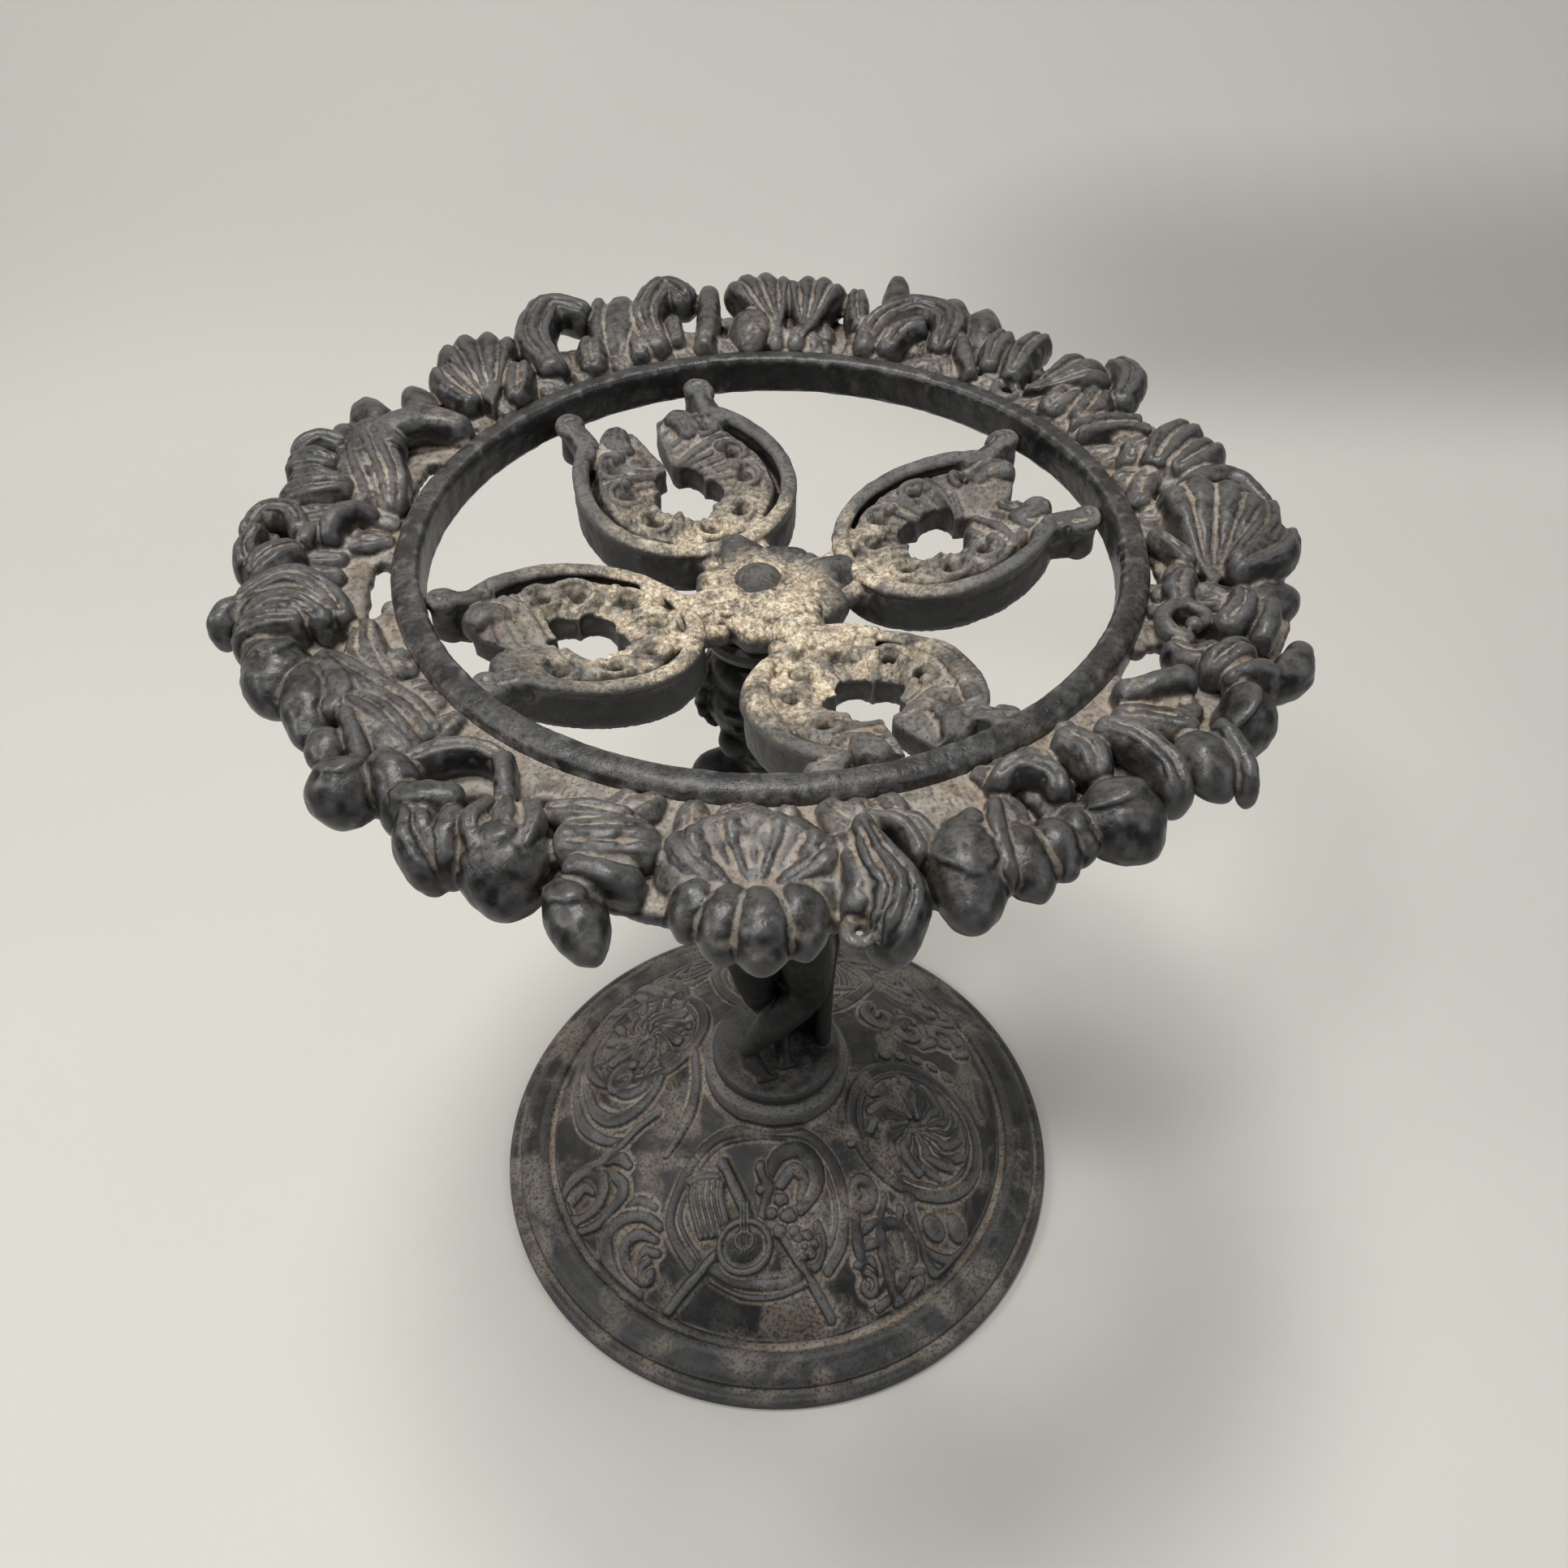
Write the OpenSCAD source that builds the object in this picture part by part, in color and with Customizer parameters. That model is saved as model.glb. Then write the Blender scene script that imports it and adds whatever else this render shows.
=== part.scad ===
// Wash basin stand in cast iron.
// Ornamental castings stand on one vertical axis: a round bell foot, a standing child on a small
// round plinth, and an openwork tray whose plain hoop holds the basin. A bolt from below ties the
// figure to the foot, and a round-head screw ties the tray to the head of the figure.
// The tray is one casting. Its hoop, hub, four leaf scrolls and garland are separate modules here,
// cut to meet face to face. The origin is on the floor under the axis, and the front is -Y.

/* [Overall] */
// Height of the hoop's lip above the floor
hoop_top = 293; // [286:1:302]
// Radius of the foot where it stands on the floor
foot_r = 106; // [103:0.5:110]

/* [Foot casting] */
// Thickness of the cast wall
wall = 5; // [4.5:0.1:6]
// Radius at which the bell rises out of the moulded rim
bell_r = 87; // [86:0.5:89]
// Height of the moulded rim where the bell starts
rim_h = 12; // [11:0.5:13]
// Radius of the collar under the figure's plinth
collar_r = 26.5; // [26:0.25:28]
// Height of the collar's top face
collar_top = 61; // [59:0.5:63]
// Height of the straight side of the collar
collar_h = 9; // [8:0.5:11]
// How far the bell swells above a straight cone
bell_swell = 7; // [6:0.5:8]
// Radius of the round medallions on the bell
medallion_r = 23; // [21:0.5:24]
// Width of the arched panel at the front and its twin at the back
panel_w = 46; // [42:1:48]
// Height of the arched panels along the bell
panel_h = 52; // [48:1:54]
// How far the panels and medallions stand proud of the bell
relief = 2; // [1.6:0.2:2.6]

/* [Figure casting] */
// Radius of the figure's plinth
plinth_r = 23.5; // [22.5:0.25:25]
// Height of the figure's plinth
plinth_h = 6.5; // [6:0.25:8]
// Radius of the spigot below the plinth, which centres it in the collar
spigot_r = 10; // [9:0.5:11]
// Depth of the spigot
spigot_h = 6; // [5:0.5:6.5]
// Radius of the padded ring on the head, which carries the hub
pad_r = 15; // [14:0.25:16]
// Height of the padded ring
pad_h = 7; // [6:0.5:8]
// Radius of the peg on the padded ring, which centres the hub
peg_r = 7; // [6.5:0.25:8]
// Height of the peg
peg_h = 5; // [4:0.5:6]
// How far the child's head stands to its right of the axis, with the padded ring and the hub screw
head_offset = 3.4; // [2.8:0.2:4]

/* [Tray casting] */
// Inner radius of the hoop
hoop_r = 87.5; // [86:0.5:89]
// Width of the hoop's flat lip
lip_w = 7.5; // [7:0.25:8.5]
// Height of the hoop's wall
hoop_h = 11; // [10:0.5:12]
// Width of the hub across its flat sides
hub_w = 34; // [33:0.5:35]
// Height of the hub at its flat sides
hub_h = 14; // [13:0.5:15]
// Depth of the hub's crown below the lip
hub_drop = 15; // [14.5:0.25:16]
// Thickness of the scroll straps
strap_t = 4; // [3.6:0.2:4.6]
// Height of the scroll straps
strap_h = 13; // [12:0.5:14]
// Radius of the volutes that end each scroll
volute_r = 5.4; // [5:0.1:6]
// Thickness of the leaf web inside each scroll
web_t = 3; // [2.6:0.2:3.6]
// Depth of the scrolls' rims below the lip at the hub
scroll_dip = 17; // [16.25:0.25:18]
// Depth of the scrolls' rims below the lip where they reach the hoop
scroll_drop = 2.5; // [2:0.25:3.5]
// Directions of the four scrolls around the axis, in degrees from +X
scroll_turn = [23, 119, 207, 293];
// How far the four scrolls' middles lie from the axis, as shares of the hoop's inner radius
scroll_mid = [0.571, 0.554, 0.589, 0.617];
// Half widths of the four scrolls, as shares of the hoop's inner radius
scroll_half = [0.3, 0.334, 0.292, 0.294];
// Radius that the garland reaches
garland_r = 137; // [134:0.5:139]
// Depth of the garland's roots below the lip
garland_drop = 7; // [6:0.5:8]

/* [Fasteners] */
// Radius of the hub screw's shank
screw_r = 3; // [2.75:0.25:3.5]
// Radius of the hub screw's round head
screw_head_r = 6.3; // [6:0.1:7]
// Height of the hub screw's round head
screw_head_h = 3.3; // [3:0.1:4]
// Depth of thread in the figure's padded ring
screw_bite = 10.5; // [9:0.25:11]
// Radius of the foot bolt's shank
bolt_r = 4; // [3.5:0.25:4.5]
// Width of the foot bolt's square head
bolt_head_w = 13; // [12:0.5:14]
// Height of the foot bolt's square head
bolt_head_h = 5.5; // [5:0.5:6.5]
// Depth of thread in the figure's plinth
bolt_bite = 9; // [8:0.25:10]
// Radius of the washer under the foot bolt's head
washer_r = 12; // [11:0.5:13]
// Thickness of the washer
washer_t = 2; // [1.6:0.2:2.6]

/* [Fit] */
// Clearance round spigots, pegs and shanks
clearance = 0.3; // [0.2:0.05:0.5]

/* [Hidden] */

iron = "#4a4a48";
dusty_iron = "#6b655c";
bright_iron = "#7d7a74";

// Heights where the castings meet
plinth_top = collar_top + plinth_h;
hub_top = hoop_top - hub_drop;
hub_bottom = hub_top - hub_h;
head_top = hub_bottom - pad_h;
foot_roof = collar_top - max(spigot_h + 3, wall + 4);

// One fifth of the child's height: a young child stands five heads tall
head_unit = (head_top - plinth_top) / 5;

// Threads are drawn as a plain shank in a hole a hair wider
thread_gap = 0.1;
screw_tip = hub_bottom + peg_h - screw_bite;

hoop_outer = hoop_r + lip_w;
facet_tooth = 1 / cos(180 / 96);

// ---------------------------------------------------------------- helpers

function mix(a, b, t) = a + (b - a) * t;
function unit(v) = v / norm(v);
function polar(r, a) = [r * cos(a), r * sin(a)];
function arc(centre, r, a0, a1, steps) =
    [for (i = [0 : steps]) centre + polar(r, mix(a0, a1, i / steps))];

// Solid through a list of rings that have the same number of points
module loft(rings) {
    sides = len(rings[0]);
    last = len(rings) - 1;
    walls = [
        for (i = [0 : last - 1], k = [0 : sides - 1])
            let (a = i * sides + k, b = i * sides + (k + 1) % sides)
            each [[a, b, a + sides], [b, b + sides, a + sides]]
    ];
    root = [for (k = [sides - 1 : -1 : 0]) k];
    tip = [for (k = [0 : sides - 1]) last * sides + k];
    polyhedron(
        points = [for (ring = rings) each ring],
        faces = concat(walls, [root, tip]),
        convexity = 4
    );
}

// Solid through oval rings: one ring per spine point, half_w wide and half_t thick
module sweep(spine, half_w, half_t, sides = 8) {
    last = len(spine) - 1;
    loft([
        for (i = [0 : last])
            let (
                ahead = unit(spine[min(i + 1, last)] - spine[max(i - 1, 0)]),
                side = unit(cross(ahead, [0, 0, 1])),
                up = cross(side, ahead)
            )
            [
                for (k = [0 : sides - 1])
                    let (a = 360 * (k + 0.5) / sides)
                    spine[i] + side * half_w[i] * cos(a) + up * half_t[i] * sin(a)
            ]
    ]);
}

// Ridged leaf or petal from one point to another, bowed to one side, with blunt ends
module leaf(from, to, w, t, bow = 0, rise = 2) {
    run = to - from;
    side = unit([-run[1], run[0], 0]);
    stations = [[0, 0.5], [0.3, 0.95], [0.75, 1], [1, 0.5]];
    spine = [
        for (station = stations)
            let (u = station[0])
            from + run * u + side * bow * sin(180 * u) + [0, 0, rise * sin(180 * u)]
    ];
    shape = [for (station = stations) station[1]];
    sweep(spine, shape * w / 2, shape * t / 2, 6);
}

// Shell that spreads from a hinge in rolled lobes, with a furrow between each two
module shell(hinge, tip, w, t, lobes) {
    run = tip - hinge;
    side = unit(cross(run, [0, 0, 1]));
    loft([
        for (station = [[0.06, 0.3, 0.5], [0.45, 0.72, 1], [0.82, 1, 0.9], [1, 0.94, 0.3]])
            let (reach = station[0], spread = station[1], crown = station[2])
            concat(
                [
                    for (k = [0 : lobes * 2])
                        let (v = 1 - k / lobes, lobe = k % 2, dip = reach * (0.16 * v * v + 0.1 * (1 - lobe)))
                        hinge + run * (reach - dip) + side * v * spread * w / 2
                        + [0, 0, t * crown * (0.16 + 0.34 * lobe)]
                ],
                [
                    for (v = [-0.94, 0.94])
                        hinge + run * reach * 0.84 + side * v * spread * w / 2 - [0, 0, t / 2]
                ]
            )
    ]);
}

// Rounded bud or fruit between two points
module bud(from, to, w) {
    hull() {
        translate(from) sphere(r = w * 0.36, $fn = 6);
        translate(mix(from, to, 0.5)) sphere(r = w * 0.52, $fn = 8);
        translate(to) sphere(r = w * 0.32, $fn = 6);
    }
}

// Round limb with a radius at each joint
module limb(joints, radii) {
    for (i = [0 : len(joints) - 2])
        hull() {
            translate(joints[i]) sphere(r = radii[i], $fn = 8);
            translate(joints[i + 1]) sphere(r = radii[i + 1], $fn = 8);
        }
}

// ---------------------------------------------------------------- foot casting

// Height of the bell's outer skin at a radius, from the rim up to the foot of the collar
bell_top = collar_top - collar_h;
function bell_z(r) =
    let (u = min(1, max(0, (bell_r - r) / (bell_r - collar_r))))
    mix(rim_h, bell_top, u) + bell_swell * sin(180 * pow(u, 0.9));
// Slope of the bell in degrees, for things that lie on it
function bell_slope(r) = atan((bell_z(r - 1) - bell_z(r + 1)) / 2);

bell_steps = 12;
bead_r = 2.6;

function bell_line(inset, steps = bell_steps) = [
    for (i = [0 : steps])
        let (r = mix(bell_r, collar_r, i / steps), s = bell_slope(r))
        [r - inset * sin(s), bell_z(r) - inset * cos(s)]
];

// Rim mouldings from the floor to the bell: a band, two beads and a cove between them
function rim_line() = concat(
    [[foot_r - 1, 0], [foot_r, 1], [foot_r, 3.5]],
    arc([foot_r - 2.4, 3.6], 2.4, 0, 90, 4),
    [[foot_r - 5, 6.2]],
    arc([foot_r - 5.4 - bead_r, 6.4], bead_r, 10, 170, 5),
    [[foot_r - 12, 7]],
    arc([foot_r - 12.6 - bead_r, 8.6], bead_r, 0, 180, 5),
    [[bell_r + 0.6, 9.6]]
);

module foot_casting() {
    inner = [for (p = bell_line(wall)) if (p[1] < foot_roof - 1) p];
    color(dusty_iron) {
        difference() {
            union() {
                rotate_extrude($fn = 120)
                    polygon(concat(
                        rim_line(),
                        bell_line(0),
                        [[collar_r, collar_top - 1.2], [collar_r - 1.2, collar_top], [0, collar_top],
                         [0, foot_roof], [inner[len(inner) - 1][0], foot_roof]],
                        [for (i = [len(inner) - 1 : -1 : 0]) inner[i]],
                        [[foot_r - 14, 4], [foot_r - 7, 0]]
                    ));
                for (side = [-97, 83]) on_bell(side, 50) panel();
                for (side = [-8, 174]) on_bell(side, 56) medallion();
                for (side = [-52, 38, 127, 217]) on_bell(side, 66) bell_scroll();
            }
            translate([0, 0, collar_top - spigot_h - clearance])
                cylinder(r = spigot_r + clearance, h = spigot_h + clearance + 1, $fn = 48);
            cylinder(r = bolt_r + clearance, h = collar_top, $fn = 48);
        }
    }
}

// Sets a child on the bell's skin: local +Z along the skin's normal, local +Y uphill
module on_bell(turn, r) {
    rotate([0, 0, turn + 90])
        translate([0, -r, bell_z(r)])
            rotate([bell_slope(r), 0, 0]) children();
}

// Arched panel with a raised border
module panel() {
    low = -wall * 0.7;
    difference() {
        translate([0, 0, low]) linear_extrude(relief - low) arched(panel_w, panel_h);
        translate([0, 0, relief * 0.2]) linear_extrude(relief + 1) arched(panel_w - 6, panel_h - 6);
    }
    translate([0, -panel_h * 0.12, low]) cylinder(r = panel_w * 0.19, h = relief - low + 0.6, $fn = 40);
}

// Panel outline: a flat foot and a wide arched head
module arched(w, h) {
    half = w / 2;
    polygon(concat(
        [[-half * 0.7, -h / 2], [half * 0.7, -h / 2], [half, -h * 0.2]],
        arc([0, h / 2 - half], half, 0, 180, 10),
        [[-half, -h * 0.2]]
    ));
}

// Round medallion with a raised rim, a low crown and a boss
module medallion() {
    low = -wall * 0.7;
    rotate_extrude($fn = 72)
        polygon(concat(
            [[0, low], [medallion_r, low], [medallion_r, relief * 0.5]],
            arc([medallion_r - 1.6, relief * 0.5], 1.6, 0, 180, 5),
            [[medallion_r - 3.6, relief * 0.2]],
            [for (i = [1 : 5]) let (u = i / 5)
                [(medallion_r - 3.6) * (1 - u) + 4 * u, relief * mix(0.2, 1, sin(90 * u))]],
            [[3, relief + 1.2], [0, relief + 1.6]]
        ));
}

// Short C scroll that lies on the bell between two panels
module bell_scroll() {
    scroll_bend = 8;
    translate([0, 0, -0.6]) {
        rotate([0, 0, 30]) rotate_extrude(angle = 250, $fn = 48)
            translate([scroll_bend, 0]) circle(r = 2, $fn = 20);
        translate([scroll_bend * cos(30), scroll_bend * sin(30), 0]) sphere(r = 3.4, $fn = 24);
    }
}

// ---------------------------------------------------------------- figure casting

// Point on the child, in head units from the middle of the plinth's top
function body_point(p) = [p[0] * head_unit, p[1] * head_unit, plinth_top + p[2] * head_unit];
function body_points(list) = [for (p = list) body_point(p)];
function body_radii(list) = [for (r = list) r * head_unit];

module part_of_body(joints, radii) {
    limb(body_points(joints), body_radii(radii));
}

// Weight-bearing leg, which crosses in front to the left foot's place
module front_leg() {
    part_of_body(
        [[0.18, 0.05, 2.02], [0.28, -0.16, 1.02], [-0.02, -0.2, 0.66], [-0.26, -0.2, 0.22]],
        [0.3, 0.19, 0.17, 0.1]
    );
    part_of_body([[-0.26, -0.18, 0.2], [-0.36, -0.1, 0.1], [-0.1, -0.36, 0.08]], [0.11, 0.09, 0.08]);
}

module back_leg() {
    part_of_body(
        [[-0.19, 0.05, 2.02], [-0.18, -0.06, 1.02], [-0.09, 0.06, 0.66], [0.04, 0.08, 0.22]],
        [0.3, 0.19, 0.17, 0.1]
    );
    part_of_body([[0.04, 0.08, 0.2], [0.08, 0.08, 0.1], [0.07, -0.24, 0.08]], [0.11, 0.09, 0.08]);
}

module torso() {
    part_of_body([[-0.17, 0.06, 2.15], [0.17, 0.06, 2.15]], [0.33, 0.33]);
    part_of_body([[0, 0.03, 2.3], [0, -0.02, 2.62], [0, 0.04, 3.2]], [0.42, 0.42, 0.4]);
    part_of_body([[-0.34, 0.07, 3.42], [0.34, 0.07, 3.42]], [0.23, 0.23]);
    part_of_body([[0, 0.07, 3.5], [-head_offset / head_unit, 0.04, 4.05]], [0.22, 0.18]);
}

module arms() {
    part_of_body(
        [[-0.42, 0.07, 3.42], [-0.68, 0.2, 2.86], [-0.4, -0.16, 2.48]],
        [0.2, 0.15, 0.12]
    );
    part_of_body(
        [[0.42, 0.07, 3.42], [0.64, 0.14, 2.84], [0.52, -0.12, 2.32]],
        [0.2, 0.15, 0.12]
    );
}

module head() {
    hull() {
        translate(body_point([0, 0.02, 4.6])) sphere(r = head_unit * 0.41, $fn = 16);
        translate(body_point([0, -0.12, 4.28])) sphere(r = head_unit * 0.25, $fn = 12);
    }
    hull() {
        translate(body_point([0, -0.34, 4.55])) sphere(r = head_unit * 0.04, $fn = 6);
        translate(body_point([0, -0.42, 4.42])) sphere(r = head_unit * 0.055, $fn = 6);
    }
    for (k = [0 : 4])
        let (a = -10 + 200 * k / 4)
        part_of_body(
            [[0.38 * cos(a), 0.02 + 0.38 * sin(a), 4.72], [0.42 * cos(a), 0.02 + 0.42 * sin(a), 4.4]],
            [0.12, 0.11]
        );
}

// Cloth gathered at the hips, which falls behind the legs to the plinth
module drapery() {
    part_of_body([[-0.36, 0.02, 2.2], [0, -0.3, 2.02], [0.4, -0.02, 2.28]], [0.12, 0.13, 0.13]);
    part_of_body(
        [[0.46, 0.06, 2.3], [0.46, 0.16, 1.2], [0.38, 0.24, 0.06]],
        [0.14, 0.12, 0.15]
    );
    part_of_body(
        [[0.2, 0.3, 2.2], [0.18, 0.34, 1.2], [0.12, 0.38, 0.06]],
        [0.14, 0.12, 0.13]
    );
}

// Round plinth with a tapped hole for the foot bolt and a spigot that centres it in the collar
module figure_plinth() {
    edge = 2.2;
    color(iron)
        difference() {
            rotate_extrude($fn = 72)
                polygon([
                    [0, collar_top - spigot_h],
                    [spigot_r - 0.6, collar_top - spigot_h],
                    [spigot_r, collar_top - spigot_h + 0.6],
                    [spigot_r, collar_top],
                    [plinth_r - edge, collar_top],
                    [plinth_r - edge * 0.3, collar_top + edge * 0.4],
                    [plinth_r, collar_top + edge],
                    [plinth_r, plinth_top - edge * 0.7],
                    [plinth_r - edge * 0.3, plinth_top - edge * 0.2],
                    [plinth_r - edge, plinth_top],
                    [0, plinth_top]
                ]);
            translate([0, 0, collar_top - spigot_h - 1])
                cylinder(r = bolt_r + thread_gap, h = bolt_bite + 1.5, $fn = 40);
        }
}

module figure_body() {
    color(iron)
        intersection() {
            union() {
                front_leg();
                back_leg();
                torso();
                arms();
                translate([-head_offset, 0, 0]) head();
                drapery();
            }
            translate([-head_unit, -head_unit, plinth_top])
                cube([head_unit * 2, head_unit * 2, head_top - plinth_top]);
        }
}

// Padded ring on the head, with a peg that centres the hub and a tapped hole for the hub screw
module figure_pad() {
    bulge = pad_h / 2;
    color(iron)
        translate([-head_offset, 0, 0]) difference() {
            rotate_extrude($fn = 60)
                polygon(concat(
                    [[0, head_top], [pad_r - bulge, head_top]],
                    arc([pad_r - bulge, head_top + bulge], bulge, -60, 60, 4),
                    [[pad_r - bulge, hub_bottom], [peg_r, hub_bottom]],
                    [[peg_r, hub_bottom + peg_h - 0.6], [peg_r - 0.6, hub_bottom + peg_h]],
                    [[0, hub_bottom + peg_h]]
                ));
            translate([0, 0, screw_tip - 0.5])
                cylinder(r = screw_r + thread_gap, h = screw_bite + 2, $fn = 40);
        }
}

// ---------------------------------------------------------------- tray casting

// Plain hoop: a vertical inner wall under a flat lip with rounded corners
module tray_hoop() {
    round = 1.2;
    color(iron)
        rotate_extrude($fn = 144)
            polygon(concat(
                [[hoop_r, hoop_top - hoop_h]],
                arc([hoop_r + round, hoop_top - round], round, 180, 90, 3),
                arc([hoop_outer - round * 1.6, hoop_top - round * 1.6], round * 1.6, 90, 0, 4),
                [[hoop_outer, hoop_top - hoop_h + 1], [hoop_outer - 1, hoop_top - hoop_h]]
            ));
}

// Hub: a square boss with a domed crown and a flat side towards each scroll
module tray_hub() {
    crown = 60;
    color(bright_iron)
        difference() {
            intersection() {
                linear_extrude(hoop_top) hub_outline(0);
                translate([0, 0, hub_top - crown]) sphere(r = crown, $fn = 96);
                translate([0, 0, hub_bottom]) cylinder(r = hub_w * 0.62, h = hub_h, $fn = 96);
            }
            translate([-head_offset, 0, 0]) {
                translate([0, 0, hub_bottom - 1])
                    cylinder(r = peg_r + clearance, h = peg_h + 1 + clearance, $fn = 48);
                cylinder(r = screw_r + clearance, h = hoop_top, $fn = 48);
                translate([0, 0, hub_top - 0.6]) cylinder(r = screw_head_r + 1.2, h = 2, $fn = 48);
            }
        }
}

// Area that lies inside the flat side of every scroll's root
module hub_outline(grow) {
    intersection_for (turn = scroll_turn)
        rotate(turn)
            translate([-hub_w, -hub_w]) square([hub_w * 1.5 + grow, hub_w * 2]);
}

// One scroll, laid out along +X from the hub to the hoop. A strap on edge runs round it, and a lobed
// leaf web slopes from the strap to a hole in the middle and a notch that opens towards the hoop.
scroll_reach = hoop_r * 0.312;
scroll_length = hoop_r * 0.347;
scroll_end = 34;
scroll_steps = 44;
leaf_lobes = 10;
hole_r = hoop_r * 0.1;
volute_turn = [14.5, 14, 12, 15];

// Height of the scrolls' rims at a distance from the axis: low at the hub, rising to the hoop
function rim_z(x) =
    let (u = min(1, max(0, (x - hub_w / 2) / (hoop_r - hub_w / 2))))
    hoop_top - mix(scroll_dip, scroll_drop, pow(u, 1.3));

// Centre line of the strap: a half round towards the hub and a longer one towards the hoop
function strap_point(mid, half, a) =
    [mid + (cos(a) > 0 ? scroll_length : scroll_reach) * cos(a), half * sin(a)];

// Inner edge of the web: round the hole, then out along the widening notch
function web_edge(mid, a) =
    let (
        side = a < 180 ? 1 : -1,
        turn = min(a, 360 - a),
        round_hole = min(1, max(0, (turn - 70) / 110)),
        along_notch = min(1, max(0, (70 - turn) / (70 - scroll_end))),
        hole_a = mix(20, 180, round_hole),
        lobe = abs(sin(180 * leaf_lobes * (a - scroll_end) / (360 - 2 * scroll_end))),
        notch = mix(hole_r * 0.12, hole_r * 0.7, pow(along_notch, 2)),
        hole_tip = mid + hole_r * 1.1 * cos(hole_a)
    )
    [
        mix(hole_tip, mid + scroll_length * 0.84, along_notch),
        side * (along_notch > 0 ? notch : hole_r * sin(hole_a) - lobe * sin(hole_a) * 1.5)
    ];

// Strap and web in section: across runs from the strap (0) to the web's edge (1), then the height
function strap_section(lobe) = [
    [-0.5, 0, -strap_h],
    [-0.5, 0, -1.2],
    [0, 0, 0],
    [0.5, 0, -1.2],
    [0.5, 0.06, -strap_h * 0.42 + lobe],
    [0, 0.55, -strap_h * 0.32 + 2 * lobe],
    [0, 1, -strap_h * 0.58 + lobe],
    [0, 1, -strap_h * 0.58 + lobe - web_t],
    [0.5, 0.1, -strap_h * 0.68],
    [0.5, 0, -strap_h]
];

module scroll_form(mid, half, spread) {
    loft([
        for (i = [0 : scroll_steps])
            let (
                a = mix(scroll_end, 360 - scroll_end, i / scroll_steps),
                strap = strap_point(mid, half, a),
                ahead = unit(strap_point(mid, half, a + 1) - strap_point(mid, half, a - 1)),
                inward = [-ahead[1], ahead[0]],
                edge = web_edge(mid, a),
                lobe = abs(sin(180 * leaf_lobes * i / scroll_steps))
            )
            [
                for (p = strap_section(lobe))
                    let (q = mix(strap, edge, p[1]) + inward * p[0] * strap_t)
                    [q[0], q[1], rim_z(q[0]) + p[2]]
            ]
    ]);
    // Neck between the strap and the hub
    neck = [hub_w * 0.24, hub_w * 0.41, mid - scroll_reach + strap_t * 0.4];
    sweep(
        [for (x = neck) [x, 0, rim_z(neck[2]) - strap_h / 2]],
        [hub_w * 0.3, hub_w * 0.28, hub_w * 0.22],
        [strap_h * 0.52, strap_h * 0.5, strap_h * 0.48],
        8
    );
    // Volutes against the hoop, where the strap's ends turn outwards
    for (side = [-1, 1])
        let (
            centre = polar(hoop_r - volute_r * 0.8, side * spread),
            last = strap_point(mid, half, scroll_end),
            base = rim_z(centre[0]) - strap_h
        ) {
            translate([centre[0], centre[1], base]) cylinder(r = volute_r, h = strap_h, $fn = 32);
            hull() {
                translate([centre[0], centre[1], base]) cylinder(r = strap_t * 0.6, h = strap_h - 1, $fn = 12);
                translate([last[0] - 1, side * last[1], base])
                    cylinder(r = strap_t * 0.5, h = strap_h - 1.5, $fn = 12);
            }
        }
}

// Scroll in place, cut where it meets the hub and the hoop
module scroll(i) {
    color(dusty_iron)
        rotate([0, 0, scroll_turn[i]])
            intersection() {
                scroll_form(scroll_mid[i] * hoop_r, scroll_half[i] * hoop_r, volute_turn[i]);
                translate([hub_w / 2, -hoop_r, 0]) cube([hoop_r, hoop_r * 2, hoop_top]);
                cylinder(r = hoop_r, h = hoop_top, $fn = 96);
            }
}

module tray_scroll_right() { scroll(0); }
module tray_scroll_back() { scroll(1); }
module tray_scroll_left() { scroll(2); }
module tray_scroll_front() { scroll(3); }

// The garland's forms keep their proportions when its reach changes
garland_scale = garland_r / 137;

// Point on the garland band: an angle, and 0 at the hoop to 1 at the outer edge
function band(a, s, z = 0) =
    let (p = polar(mix(hoop_outer, garland_r, s), a))
    [p[0], p[1], hoop_top - garland_drop + (4 + z) * garland_scale];

module stroke(a0, s0, a1, s1, w, t = 8, bow = 0, lift = 0) {
    k = garland_scale;
    leaf(band(a0, s0, -2), band(a1, s1, lift), w * k, t * k, bow * k, 2.5 * k);
}

module fruit(a0, s0, a1, s1, w) {
    bud(band(a0, s0, -1), band(a1, s1, -1), w * garland_scale);
}

module fan(a0, s0, a1, s1, w, lobes) {
    shell_t = 9;
    shell(band(a0, s0), band(a1, s1), w * garland_scale, shell_t * garland_scale, lobes);
}

module tray_garland() {
    color(iron)
        difference() {
            union() {
                garland_web();
                garland_front();
                garland_right();
                garland_back();
                garland_left();
            }
            translate([0, 0, hoop_top - hoop_h * 2])
                cylinder(r = hoop_outer * facet_tooth, h = hoop_h * 4, $fn = 96);
        }
}

// Thin flange that joins the motifs to the hoop, pierced where the pattern is open
module garland_web() {
    web_reach = 0.5;
    gaps = [
        [165, 0.1, 12, 4], [187, 0.12, 11, 3.5], [-126, 0.42, 6, 4], [-116, 0.14, 6, 3],
        [-32, 0.2, 7, 6], [-5, 0.2, 7, 3.5], [-70, 0.3, 8, 4]
    ];
    translate([0, 0, hoop_top - garland_drop - 2 * garland_scale])
        linear_extrude(4 * garland_scale) difference() {
            circle(r = mix(hoop_outer, garland_r, web_reach), $fn = 48);
            circle(r = hoop_outer - 1, $fn = 48);
            for (g = gaps)
                rotate(g[0]) translate([mix(hoop_outer, garland_r, g[1]), 0])
                    scale([g[3] / g[2], 1]) circle(r = g[2] * garland_scale, $fn = 10);
        }
}

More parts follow.
